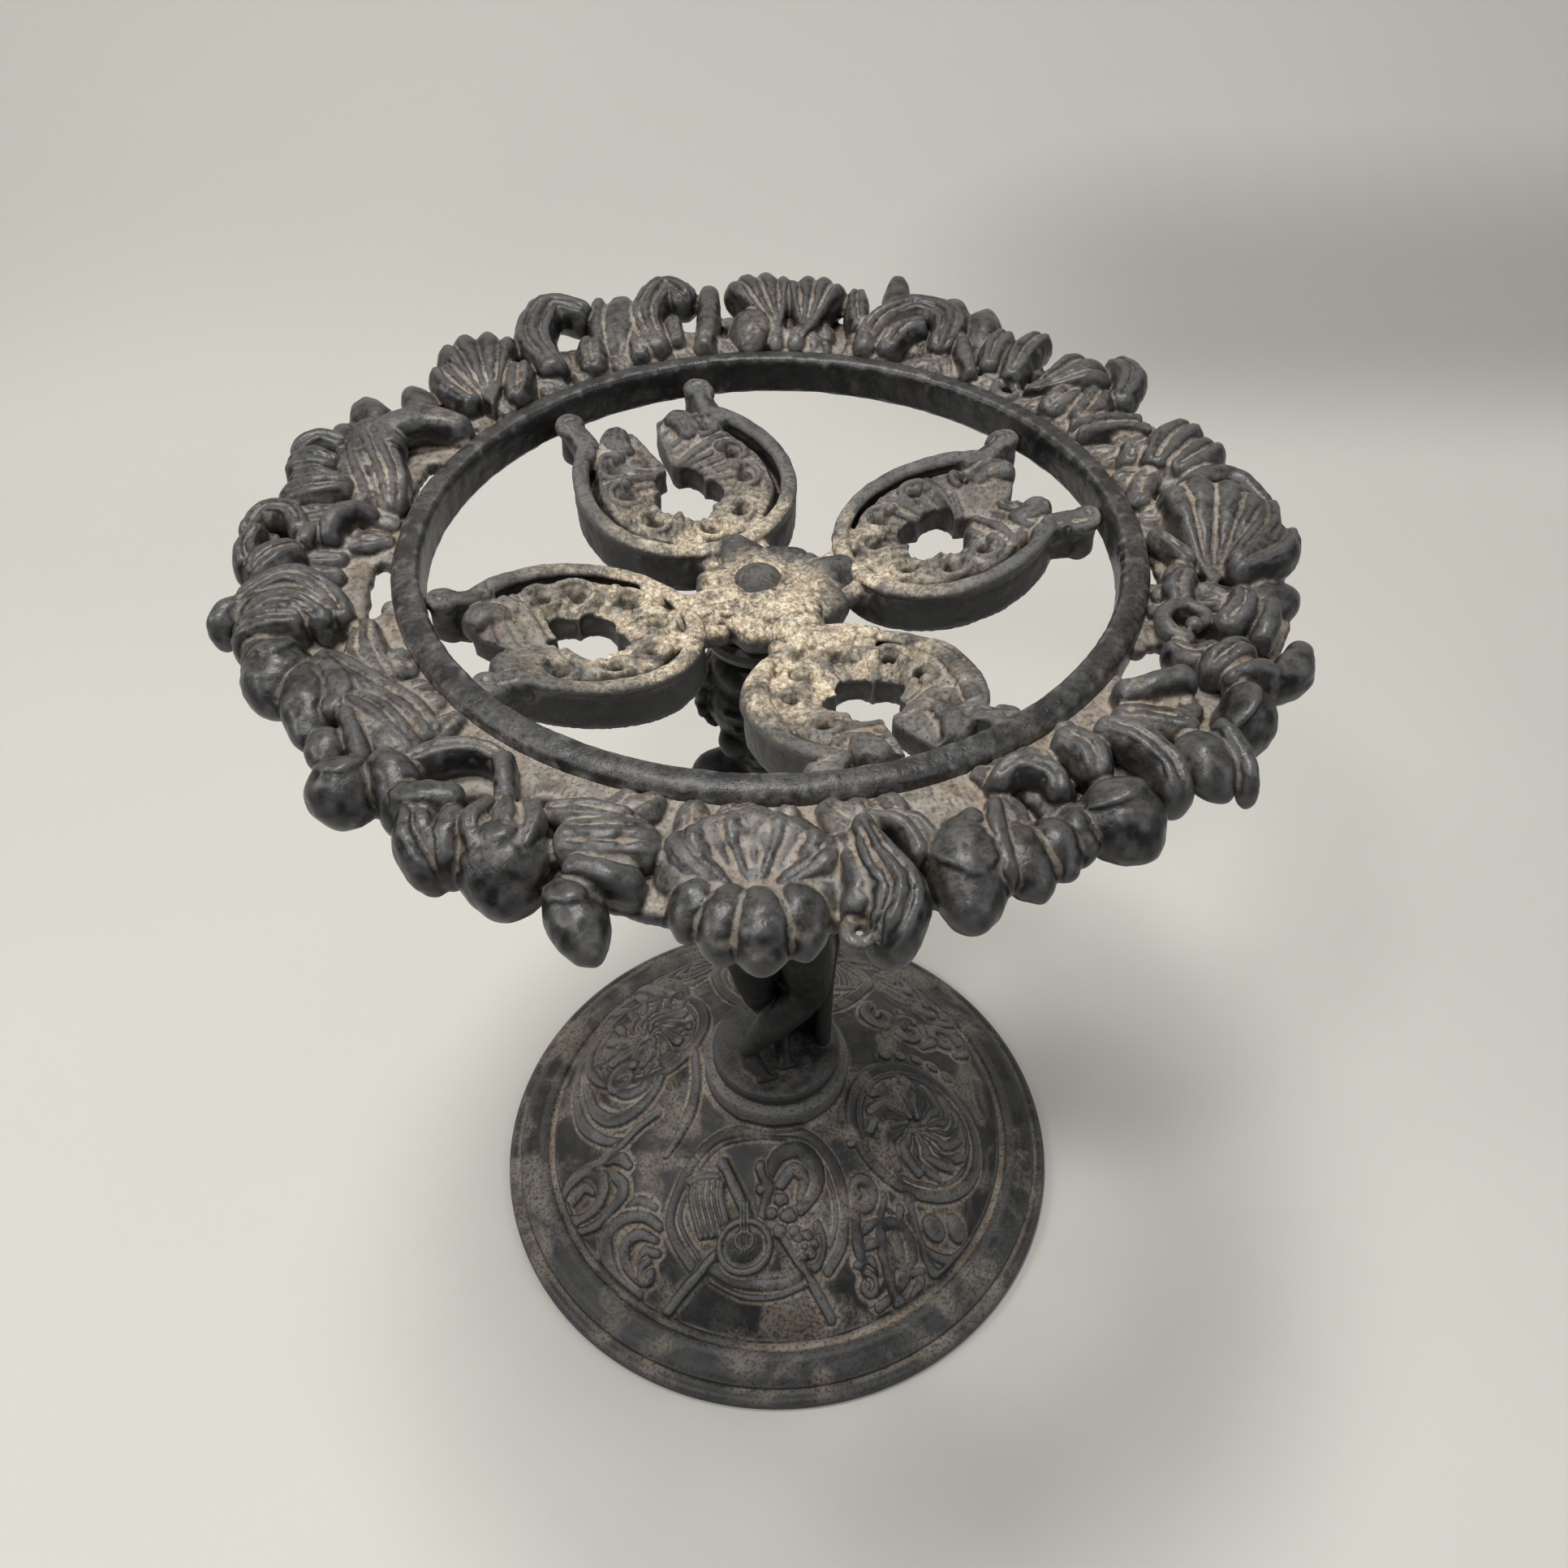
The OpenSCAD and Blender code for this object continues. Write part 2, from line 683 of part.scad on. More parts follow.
// Double shell with rolled lobes, leaf curls and buds
module garland_front() {
    fan(-92, 0.7, -92.5, 0.08, 27, 5);
    fan(-91, 0.56, -91.5, 1, 26, 4);
    stroke(-83, 0.26, -82, 0.98, 14, 9, 2);
    stroke(-77, 0.2, -65, 0.2, 7, 6);
    fruit(-70, 0.44, -74, 0.94, 16);
    stroke(-62, 0.14, -64, 0.5, 12);
    fruit(-63, 0.42, -66, 0.86, 16);
    fruit(-60, 0.78, -51, 0.66, 17);
    stroke(-57, 0.16, -51, 0.6, 13, 8, 3);
}

// Fruit, a broad shell and leaf sprays
module garland_right() {
    stroke(-45, 0.14, -33, 0.46, 10, 8, 2);
    fruit(-48, 0.8, -40, 0.74, 13);
    fruit(-40, 0.72, -29, 0.74, 19);
    stroke(-37, 0.36, -34, 0.7, 10);
    stroke(-30, 0.74, -21, 0.86, 11);
    stroke(-25, 0.06, -19, 0.36, 13);
    stroke(-27, 0.46, -16, 0.52, 11);
    fruit(-15, 0.4, -15, 0.86, 13);
    fan(-14, 0.3, -1, 0.739, 38, 5);
    stroke(0, 0.12, 9, 0.72, 12, 8, -3);
    stroke(-4, 0, -12, 0.26, 9);
    stroke(13, 0.1, 21, 0.72, 12);
    stroke(12, 0.26, 15, 0.82, 11);
    stroke(22, 0.08, 28, 0.86, 13, 8, -3);
    stroke(29, 0, 23, 0.42, 9);
}

// Open flower, a scroll leaf, twin palmettes and buds
module garland_back() {
    stroke(31, 0.5, 37, 0.88, 10, 8, -3);
    fan(41, 0.04, 38, 0.76, 25, 3);
    stroke(31, 0.06, 34, 0.46, 13);
    stroke(46, 0.06, 49, 0.78, 13);
    fruit(60, 0.34, 64, 0.86, 14);
    fruit(55, 0.42, 60, 0.9, 13);
    stroke(52, 0, 59, 0.46, 9);
    stroke(74, 0, 66, 0.6, 15, 8, -4);
    stroke(58, 0, 69, 0.62, 14, 8, 4);
    stroke(71, 0.3, 74, 0.9, 12);
    fan(87, 0.2, 92, 0.99, 25, 4);
    fan(83, 0.1, 81, 0.96, 24, 4);
    fruit(94, 0.04, 93, 0.4, 13);
    stroke(109, 0.02, 103, 0.88, 15, 8, -2);
    stroke(101, 0.02, 98, 0.78, 10);
    fruit(115, 0.26, 110, 0.88, 15);
    stroke(127, 0.06, 118, 0.9, 17, 8, -3);
    fan(144, 0.08, 135, 0.84, 34, 5);
}

// Rose, long veined leaves, a beaked shell, and fruit down to a pomegranate
module garland_left() {
    stroke(150, 0.34, 146, 0.84, 12);
    fruit(157, 0.5, 150, 0.92, 14);
    stroke(160, 0.38, 150, 0.04, 13, 8, 4);
    stroke(155, 0.46, 174, 0.06, 13);
    stroke(163, 0.5, 177, 0.36, 15);
    fan(173, 0.36, 161, 0.96, 24, 3);
    fan(179, 0.2, 174, 0.84, 24, 3);
    fan(-170, 0.34, -177, 0.92, 24, 3);
    stroke(178, 0.16, -173, 0.46, 11);
    stroke(-151, 0.42, -166, 0.72, 16);
    stroke(-157, 0.7, -165, 0.94, 13);
    stroke(-166, 0.08, -146, 0.22, 15, 7);
    stroke(-151, 0.16, -133, 0.28, 17, 7);
    stroke(-141, 0.18, -125, 0.22, 13, 7);
    fruit(-158, 0.56, -153, 0.86, 16);
    fruit(-152, 0.58, -147, 0.82, 15);
    fruit(-145, 0.54, -142, 0.84, 14);
    fruit(-139, 0.6, -134, 0.88, 17);
    stroke(-132, 0.5, -122, 0.14, 9);
    stroke(-132, 0.54, -126, 0.8, 14);
    stroke(-127, 0.6, -119, 0.92, 14);
    fruit(-118, 0.42, -113, 0.78, 24);
    stroke(-118, 0.24, -100, 0.32, 19);
    fruit(-110, 0.6, -105, 0.98, 14);
}

// ---------------------------------------------------------------- fasteners

// Round-head screw: its head seats on the hub and its shank bites into the figure's head
module hub_screw() {
    seat = hub_top - 0.6;
    crown_r = (pow(screw_head_r, 2) + pow(screw_head_h, 2)) / (2 * screw_head_h);
    color(iron) translate([-head_offset, 0, 0]) union() {
        translate([0, 0, screw_tip]) cylinder(r = screw_r, h = seat - screw_tip, $fn = 40);
        intersection() {
            translate([0, 0, seat + screw_head_h - crown_r]) sphere(r = crown_r, $fn = 72);
            translate([0, 0, seat]) cylinder(r = screw_head_r, h = screw_head_h, $fn = 48);
        }
    }
}

module foot_washer() {
    color(bright_iron)
        translate([0, 0, foot_roof - washer_t])
            difference() {
                cylinder(r = washer_r, h = washer_t, $fn = 48);
                translate([0, 0, -1]) cylinder(r = bolt_r + clearance, h = washer_t + 2, $fn = 40);
            }
}

// Square-head bolt from below, through washer and collar into the figure's plinth
module foot_bolt() {
    seat = foot_roof - washer_t;
    tip = collar_top - spigot_h + bolt_bite;
    color(iron) union() {
        translate([0, 0, seat]) cylinder(r = bolt_r, h = tip - seat, $fn = 40);
        translate([-bolt_head_w / 2, -bolt_head_w / 2, seat - bolt_head_h])
            cube([bolt_head_w, bolt_head_w, bolt_head_h]);
    }
}

// ---------------------------------------------------------------- parts

foot_casting();
foot_washer();
foot_bolt();
figure_plinth();
figure_body();
figure_pad();
tray_hub();
tray_scroll_right();
tray_scroll_back();
tray_scroll_left();
tray_scroll_front();
tray_hoop();
tray_garland();
hub_screw();
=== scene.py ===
"""Looks of the cast iron wash basin stand: carved castings, worn black iron and a soft studio.

Lengths are in millimetres until a mesh is made. +Z is up, and the front of the stand is -Y.
"""

import math

import bpy
import numpy as np
from mathutils import Euler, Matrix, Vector


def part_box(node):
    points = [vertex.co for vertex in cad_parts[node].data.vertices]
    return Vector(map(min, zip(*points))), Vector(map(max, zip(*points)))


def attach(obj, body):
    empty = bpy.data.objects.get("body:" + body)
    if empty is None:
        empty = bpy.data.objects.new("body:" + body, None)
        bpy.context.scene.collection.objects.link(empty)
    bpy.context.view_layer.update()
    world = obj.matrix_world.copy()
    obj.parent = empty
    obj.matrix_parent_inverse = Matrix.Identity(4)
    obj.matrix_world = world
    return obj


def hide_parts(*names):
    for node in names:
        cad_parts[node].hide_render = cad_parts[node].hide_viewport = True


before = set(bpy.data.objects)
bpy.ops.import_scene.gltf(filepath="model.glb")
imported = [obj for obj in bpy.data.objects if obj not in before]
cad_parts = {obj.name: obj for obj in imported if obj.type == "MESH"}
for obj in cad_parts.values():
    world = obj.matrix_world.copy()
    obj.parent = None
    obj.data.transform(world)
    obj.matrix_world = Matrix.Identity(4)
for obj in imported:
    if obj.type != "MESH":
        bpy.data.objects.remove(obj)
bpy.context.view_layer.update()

MM = 0.001


# ------------------------------------------------------------------ sizes from the frame


def node_box(name):
    low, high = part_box(name)
    return np.array(low) / MM, np.array(high) / MM


_, hoop_high = node_box("tray_hoop")
hub_low, hub_high = node_box("tray_hub")
_, garland_high = node_box("tray_garland")
_, foot_high = node_box("foot_casting")
body_low, body_high = node_box("figure_body")
pad_low, pad_high = node_box("figure_pad")

LIP_WIDTH = 7.5
HOOP_OUTER = hoop_high[1]
HOOP_INNER = HOOP_OUTER - LIP_WIDTH
HOOP_TOP = hoop_high[2]
HUB_TOP = hub_high[2]
HUB_BOTTOM = hub_low[2]
GARLAND_OUTER = garland_high[1]
GARLAND_CREST = HOOP_TOP - 3
FOOT_RADIUS = foot_high[0]
COLLAR_TOP = foot_high[2]
PLINTH_TOP = body_low[2]
HEAD_UNIT = (body_high[2] - body_low[2]) / 5
HEAD_SHIFT = (pad_low[0] + pad_high[0]) / 2

COLLAR_RADIUS = 26.5
COLLAR_HEIGHT = 9
BELL_RADIUS = 87
BELL_START = 12
BELL_SWELL = 7

UP = np.array([0.0, 0.0, 1.0])
HASH_PRIMES = (73856093, 19349663, 83492791)


def mix(a, b, t):
    return a + (b - a) * t


def smooth(low, high, value):
    t = np.clip((value - low) / (high - low), 0, 1)
    return t * t * (3 - 2 * t)


def unit(v):
    v = np.asarray(v, float)
    return v / np.maximum(np.linalg.norm(v, axis=-1, keepdims=True), 1e-9)


def around(radius, degrees, height=0.0):
    a = math.radians(degrees)
    return np.array([radius * math.cos(a), radius * math.sin(a), height])


# ------------------------------------------------------------------ forms


class Clay:
    """Closed forms gathered in millimetres before they become one mesh."""

    def __init__(self):
        self.points, self.quads, self.tris, self.count = [], [], [], 0

    def rings(self, grid, closed=False):
        """Adds a closed form from rings: an array of (rings, points in a ring, 3).

        A closed one joins its last ring to its first, and any other has capped ends.
        """
        n, m, _ = grid.shape
        index = self.count + np.arange(n * m).reshape(n, m)
        beside = np.roll(index, -1, axis=1)
        ahead, across = np.roll(index, -1, axis=0), np.roll(beside, -1, axis=0)
        last = n if closed else n - 1
        self.quads.append(
            np.stack([index[:last], beside[:last], across[:last], ahead[:last]], -1).reshape(-1, 4)
        )
        self.points.append(grid.reshape(-1, 3))
        self.count += n * m
        if not closed:
            for ring, row in ((0, index[0]), (-1, index[-1][::-1])):
                middle = np.full(m, self.count)
                self.tris.append(np.stack([middle, np.roll(row, -1), row], -1))
                self.points.append(grid[ring].mean(0)[None])
                self.count += 1

    def mesh(self, name):
        points = np.concatenate(self.points) * MM
        quads = np.concatenate(self.quads)
        if not self.tris:
            a, b, c, d = (points[quads[:, k]] for k in range(4))
            if (np.cross(b - a, c - a) * a + np.cross(c - a, d - a) * a).sum() < 0:
                quads = quads[:, ::-1]
        tris = np.concatenate(self.tris) if self.tris else np.zeros((0, 3), int)
        mesh = bpy.data.meshes.new(name)
        mesh.vertices.add(len(points))
        mesh.vertices.foreach_set("co", points.astype(np.float32).ravel())
        corners = np.concatenate([quads.ravel(), tris.ravel()])
        starts = np.concatenate(
            [np.arange(len(quads)) * 4, len(quads) * 4 + np.arange(len(tris)) * 3]
        )
        totals = np.concatenate([np.full(len(quads), 4), np.full(len(tris), 3)])
        mesh.loops.add(len(corners))
        mesh.loops.foreach_set("vertex_index", corners.astype(np.int32))
        mesh.polygons.add(len(starts))
        mesh.polygons.foreach_set("loop_start", starts.astype(np.int32))
        mesh.polygons.foreach_set("loop_total", totals.astype(np.int32))
        mesh.update(calc_edges=True)
        mesh.validate()
        return mesh


def spline(values, steps):
    """Smooth curve through a short list of points or numbers."""
    p = np.asarray(values, float)
    if p.ndim == 1:
        p = p[:, None]
    t = np.linspace(0, len(p) - 1, steps)
    i = np.clip(t.astype(int), 0, len(p) - 2)
    f = (t - i)[:, None]
    a, b = p[np.maximum(i - 1, 0)], p[i]
    c, d = p[i + 1], p[np.minimum(i + 2, len(p) - 1)]
    return 0.5 * (
        2 * b + (c - a) * f + (2 * a - 5 * b + 4 * c - d) * f**2 + (3 * b - a - 3 * c + d) * f**3
    )


def directions(line):
    """Ahead, side and up at each point of a line."""
    ahead = unit(np.gradient(line, axis=0))
    reference = UP if abs(ahead[:, 2]).mean() < 0.75 else np.array([0.0, -1.0, 0.0])
    side = unit(np.cross(ahead, reference))
    return ahead, side, np.cross(side, ahead)


def tube(clay, points, radii, steps=20, sides=16, flat=1.0):
    """Round limb through the points, with round ends."""
    line, r = spline(points, steps), spline(radii, steps)
    ahead, side, up = directions(line)
    turn = np.linspace(0, 2 * math.pi, sides, endpoint=False)[None, :, None]
    bend = np.radians([12, 35, 62])[:, None]
    head = line[0] - ahead[0] * r[0] * np.cos(bend)
    tail = line[-1] + ahead[-1] * r[-1] * np.cos(bend[::-1])
    line = np.concatenate([head, line, tail])
    r = np.concatenate([r[0] * np.sin(bend), r, r[-1] * np.sin(bend[::-1])])
    pad = ((3, 3), (0, 0))
    side, up = np.pad(side, pad, mode="edge"), np.pad(up, pad, mode="edge")
    offset = side[:, None] * np.cos(turn) + up[:, None] * np.sin(turn) * flat
    clay.rings(line[:, None] + offset * r[:, None])


def ball(clay, centre, radii, tilt=0.0):
    """Ellipsoid, turned about the vertical by tilt degrees."""
    rise = np.linspace(0.08, math.pi - 0.08, 14)[:, None]
    turn = np.linspace(0, 2 * math.pi, 20, endpoint=False)[None]
    shape = np.stack(
        [np.sin(rise) * np.cos(turn), np.sin(rise) * np.sin(turn), np.cos(rise) + 0 * turn], -1
    ) * np.asarray(radii, float)
    c, s = math.cos(math.radians(tilt)), math.sin(math.radians(tilt))
    shape = shape @ np.array([[c, s, 0], [-s, c, 0], [0, 0, 1]])
    clay.rings(shape[::-1] + np.reshape(centre, 3))


def lobe(clay, points, widths, height=None, ribs=1, depth=0.3, under=None, scallop=0.0, roll=0.0):
    """Plump cast lobe along a curve: round ends, and convex flutes that spread with its width."""
    steps, across = 34, max(23, 15 * ribs + 1)
    widths = np.atleast_1d(np.asarray(widths, float))
    widths = np.repeat(widths, 2) if len(widths) == 1 else widths
    height = height or min(8.0, 1.6 + 0.36 * widths.max())
    under = height * 0.8 if under is None else under
    line, wide = spline(points, 80), spline(widths, 80)[:, 0]
    length = np.linalg.norm(np.diff(line, axis=0), axis=1).sum()
    _, side, _ = directions(line)
    u = (1 - np.cos(np.linspace(0.05, math.pi - 0.03, steps))) / 2
    root = np.clip(0.45 * widths[0] / length, 0.08, 0.5)
    tip = np.clip(0.5 * widths[-1] / length, 0.1, 0.55)
    cap = np.sqrt(1 - (1 - np.clip(u / root, 0, 1)) ** 2)
    cap *= np.sqrt(1 - (1 - np.clip((1 - u) / tip, 0, 1)) ** 2)
    v = np.linspace(1, -1, across)
    rib = np.abs(np.sin(math.pi * ribs * (v + 1) / 2)) ** 0.75 if ribs > 1 else np.ones(across)
    reach = u[:, None] * (1 - scallop * (1 - rib) * smooth(0.4, 1, u)[:, None])

    def along(curve):
        grid = np.arange(80) / 79
        return np.stack([np.interp(reach, grid, curve[:, k]) for k in range(curve.shape[1])], -1)

    half = (np.interp(u, np.arange(80) / 79, wide) / 2 * cap)[:, None]
    crown = np.sqrt(1 - np.abs(v) ** 2.6)[None] * (1 - depth * (1 - rib) * smooth(0, 0.25, u)[:, None])
    drop = roll * smooth(0.55, 1, u)[:, None] ** 2
    top = height * cap[:, None] ** 0.8 * crown - drop
    if ribs > 1:
        vein = np.abs(np.sin(1.5 * math.pi * ribs * (v + 1))) ** 0.6
        top -= 0.45 * (1 - vein)[None] * smooth(0.08, 0.3, u)[:, None]
    middle, beside = along(line), along(side)
    upper = middle + beside * (half * v)[..., None] + UP * top[..., None]
    w = v[::-1][2:-2:3]
    columns = np.arange(across)[::-1][2:-2:3]
    low = -under * cap[:, None] * np.sqrt(1 - w**2)[None] - drop[:, :1]
    lower = middle[:, columns] + beside[:, columns] * (half * w * 0.98)[..., None] + UP * low[..., None]
    clay.rings(np.concatenate([upper, lower], axis=1))


def fan(clay, ends, shape, roll=2.0):
    """Shell or palmette from its hinge to its rim: shallow convex flutes, hollow in the middle."""
    (hinge, tip), (width, height, ribs, depth, cup, scallop) = ends, shape
    steps, across = 30, 12 * ribs + 1
    run = tip - hinge
    length = np.linalg.norm(run[:2])
    ahead, side = unit(run * [1, 1, 0]), unit(np.cross(run, UP))
    half_angle = min(1.25, math.atan2(width / 2, length * 0.72))
    u = (1 - np.cos(np.linspace(0.12, math.pi - 0.02, steps)))[:, None] / 2
    v = np.linspace(1, -1, across)[None]
    rib = np.abs(np.sin(math.pi * ribs * (v + 1) / 2)) ** 0.7
    rounded = np.sqrt(1 - (np.abs(v) * 0.62) ** 2)
    out = length * u * rounded * (1 - scallop * (1 - rib) * smooth(0.3, 1, u))
    turn = v * half_angle
    flank = np.minimum(1, width / 2 / (length * math.sin(half_angle) * 0.72))
    rim = np.sqrt(1 - np.clip((u - 0.76) / 0.24, 0, 1) ** 2)
    edge = np.sqrt(1 - np.abs(v) ** 7)
    crest = mix(1 - cup, 1, smooth(0.15, 0.75, u)) * rim * edge
    high = height * crest - depth * (1 - rib) * smooth(0.05, 0.4, u) * rim
    high = high + (run[2] * u) - roll * smooth(0.7, 1, u)
    plan = ahead * (out * np.cos(turn))[..., None] + side * (out * np.sin(turn) * flank)[..., None]
    upper = hinge + plan + UP * high[..., None]
    pick = np.arange(across)[::-1][2:-2:3]
    low = -height * 0.75 * (np.sqrt(np.clip(1 - (v * 0.9) ** 2, 0, 1)) * rim) + run[2] * u
    low = low - roll * smooth(0.7, 1, u)
    under = (hinge + plan * 0.97 + UP * low[..., None])[:, pick]
    clay.rings(np.concatenate([upper, under], axis=1))


def fruit(clay, ends, widths, calyx=0, ridges=0, collar=0.42):
    """Plump bud from its stalk end to its free end, with the points of a calyx over it if asked."""
    (a, b), (width,) = ends, widths
    steps, across, flat = 30, 48, 0.95
    u = (1 - np.cos(np.linspace(0.08, math.pi - 0.08, steps))) / 2
    line = a + (b - a) * u[:, None]
    _, side, up = directions(line)
    swell = np.sin(math.pi * u**0.92) ** 0.55
    turn = np.linspace(0, 2 * math.pi, across, endpoint=False)
    r = (width / 2 * swell)[:, None] * (1 + 0 * turn)
    if ridges:
        r = r * (1 - 0.1 * (1 - np.abs(np.cos(ridges * turn / 2)) ** 0.8))
    if calyx:
        edge = collar + 0.15 * np.cos(calyx * (turn - math.pi / 2))
        r = r + smooth(-0.035, 0.035, edge[None] - u[:, None]) * 1.1 * swell[:, None]
    clay.rings(
        line[:, None]
        + side[:, None] * (r * np.cos(turn))[..., None]
        + up[:, None] * (r * np.sin(turn) * flat)[..., None]
    )


def curl(clay, centre, shape, lift=0.0, ball_end=1, keep=0.38):
    """Flat spiral that winds inwards from start, in degrees, and ends in a small ball."""
    radius, start, sweep, thick = shape
    t = np.linspace(0, 1, 11)
    angle = np.radians(start + sweep * t)
    r = radius * (1 - (1 - keep) * t)
    points = np.stack([np.cos(angle) * r, np.sin(angle) * r, lift * t], -1) + centre[0]
    tube(clay, points, thick / 2 * (1 - 0.5 * t), steps=26, sides=12)
    if ball_end:
        ball(clay, points[-1], [thick * 0.45] * 3)


FORMS = {"lobe": lobe, "fan": fan, "fruit": fruit, "curl": curl, "tube": tube, "ball": ball}


def numbers(text):
    return [float(word) if "." in word else int(word) for word in text.split()]


def draw(clay, drawing, place, scale=1):
    """Adds the forms of a drawing list.

    Each line has the name of a form, its points parted by commas, its widths, and what else its
    function takes, in order or by name. Semicolons part these. A line that ends with a comma goes
    on in the next, and a line with # is a note.
    """
    for line in drawing.replace(",\n", ",").strip().splitlines():
        name, rest = line.split(" ", 1)
        if name == "#":
            continue
        points, widths, more = (rest + ";").split(";")[:3]
        points = [place(*numbers(point)) for point in points.split(",")]
        widths = [scale * width for width in numbers(widths)]
        named = dict(word.split("=") for word in more.split() if "=" in word)
        plain = " ".join(word for word in more.split() if "=" not in word)
        named = {key: numbers(value)[0] for key, value in named.items()}
        FORMS[name](clay, points, widths, *numbers(plain), **named)


def noise3(points, size, seed):
    """Smooth value noise from -1 to 1 with features of about the given size in millimetres."""
    table = np.random.default_rng(seed).uniform(-1, 1, 4096)
    q = points / size
    cell = np.floor(q).astype(int)
    f = q - cell
    f = f * f * (3 - 2 * f)
    total = np.zeros(len(points))
    for corner in np.ndindex(2, 2, 2):
        x, y, z = ((cell + corner) * HASH_PRIMES).T
        weight = np.where(corner, f, 1 - f).prod(axis=1)
        total += weight * table[(x ^ y ^ z) % 4096]
    return total


# ------------------------------------------------------------------ meshes from forms


def settle(clay, name, voxel, soften=2, rough=0.0):
    """Joins the forms into one cast skin: a voxel remesh, a little smoothing and an uneven surface."""
    source = bpy.data.objects.new(name + "_clay", clay.mesh(name + "_clay"))
    bpy.context.scene.collection.objects.link(source)
    remesh = source.modifiers.new("skin", "REMESH")
    remesh.mode = "VOXEL"
    remesh.voxel_size = voxel * MM
    remesh.adaptivity = 0
    soft = source.modifiers.new("soft", "SMOOTH")
    soft.factor = 0.5
    soft.iterations = soften
    graph = bpy.context.evaluated_depsgraph_get()
    mesh = bpy.data.meshes.new_from_object(source.evaluated_get(graph))
    bpy.data.objects.remove(source)
    mesh.name = name
    if rough:
        roughen(mesh, rough)
    return place(mesh, name)


def coordinates(mesh):
    co = np.zeros(len(mesh.vertices) * 3, np.float32)
    mesh.vertices.foreach_get("co", co)
    return co.reshape(-1, 3).astype(float)


def normals(mesh):
    n = np.zeros(len(mesh.vertices) * 3, np.float32)
    mesh.vertex_normals.foreach_get("vector", n)
    return n.reshape(-1, 3).astype(float)


def roughen(mesh, amount):
    """Moves the skin by fractions of a millimetre, as sand casting leaves it."""
    co, n = coordinates(mesh), normals(mesh)
    at = co / MM
    shift = 0.6 * noise3(at, 5.0, 3) + 0.4 * noise3(at, 2.1, 5)
    mesh.vertices.foreach_set("co", (co + n * (shift * amount * MM)[:, None]).astype(np.float32).ravel())
    mesh.update()


def place(mesh, name):
    """Object with smooth shading and a cavity value on each point, ready to ride on the frame."""
    mesh.polygons.foreach_set("use_smooth", np.ones(len(mesh.polygons), bool))
    store_cavity(mesh)
    obj = bpy.data.objects.new(name, mesh)
    bpy.context.scene.collection.objects.link(obj)
    return obj


def store_cavity(mesh):
    """Keeps how hollow the skin is round each point: near 1 in furrows, 0 on ridges, 0.5 on plain skin."""
    co, n = coordinates(mesh), normals(mesh)
    edges = np.zeros(len(mesh.edges) * 2, np.int32)
    mesh.edges.foreach_get("vertices", edges)
    i, j = edges.reshape(-1, 2).T
    ends, others = np.concatenate([i, j]), np.concatenate([j, i])
    count = np.maximum(np.bincount(ends, minlength=len(co)), 1)

    def average(values):
        return np.bincount(ends, weights=values[others], minlength=len(co)) / count

    settled = co.copy()
    hollow = np.zeros(len(co))
    for step in range(24):
        settled = np.stack([average(settled[:, k]) for k in range(3)], -1)
        if step in (2, 7, 23):
            hollow += ((settled - co) * n).sum(1) / (0.3 * MM)
    for _ in range(2):
        hollow = 0.5 * hollow + 0.5 * average(hollow)
    value = np.clip(0.5 + 0.5 * hollow / 2.6, 0, 1)
    attribute = mesh.attributes.new("cavity", "FLOAT", "POINT")
    attribute.data.foreach_set("value", value.astype(np.float32))


def revolve(profile, segments):
    """Closed rings about the axis from a profile of radius and height."""
    turn = np.linspace(0, 2 * math.pi, segments, endpoint=False)[None]
    r, z = profile[:, :1], profile[:, 1:2]
    return np.stack([r * np.cos(turn), r * np.sin(turn), z + 0 * turn], -1)


# ------------------------------------------------------------------ garland


def band(angle, s, lift=0.0):
    """Point on the border: an angle, and 0 at the hoop to 1 at the outer edge."""
    return around(mix(HOOP_OUTER, GARLAND_OUTER, s), angle, GARLAND_CREST + lift)


def at(x, y, lift=0.0):
    """Point on the border given in plan."""
    return np.array([x, y, GARLAND_CREST + lift], float)


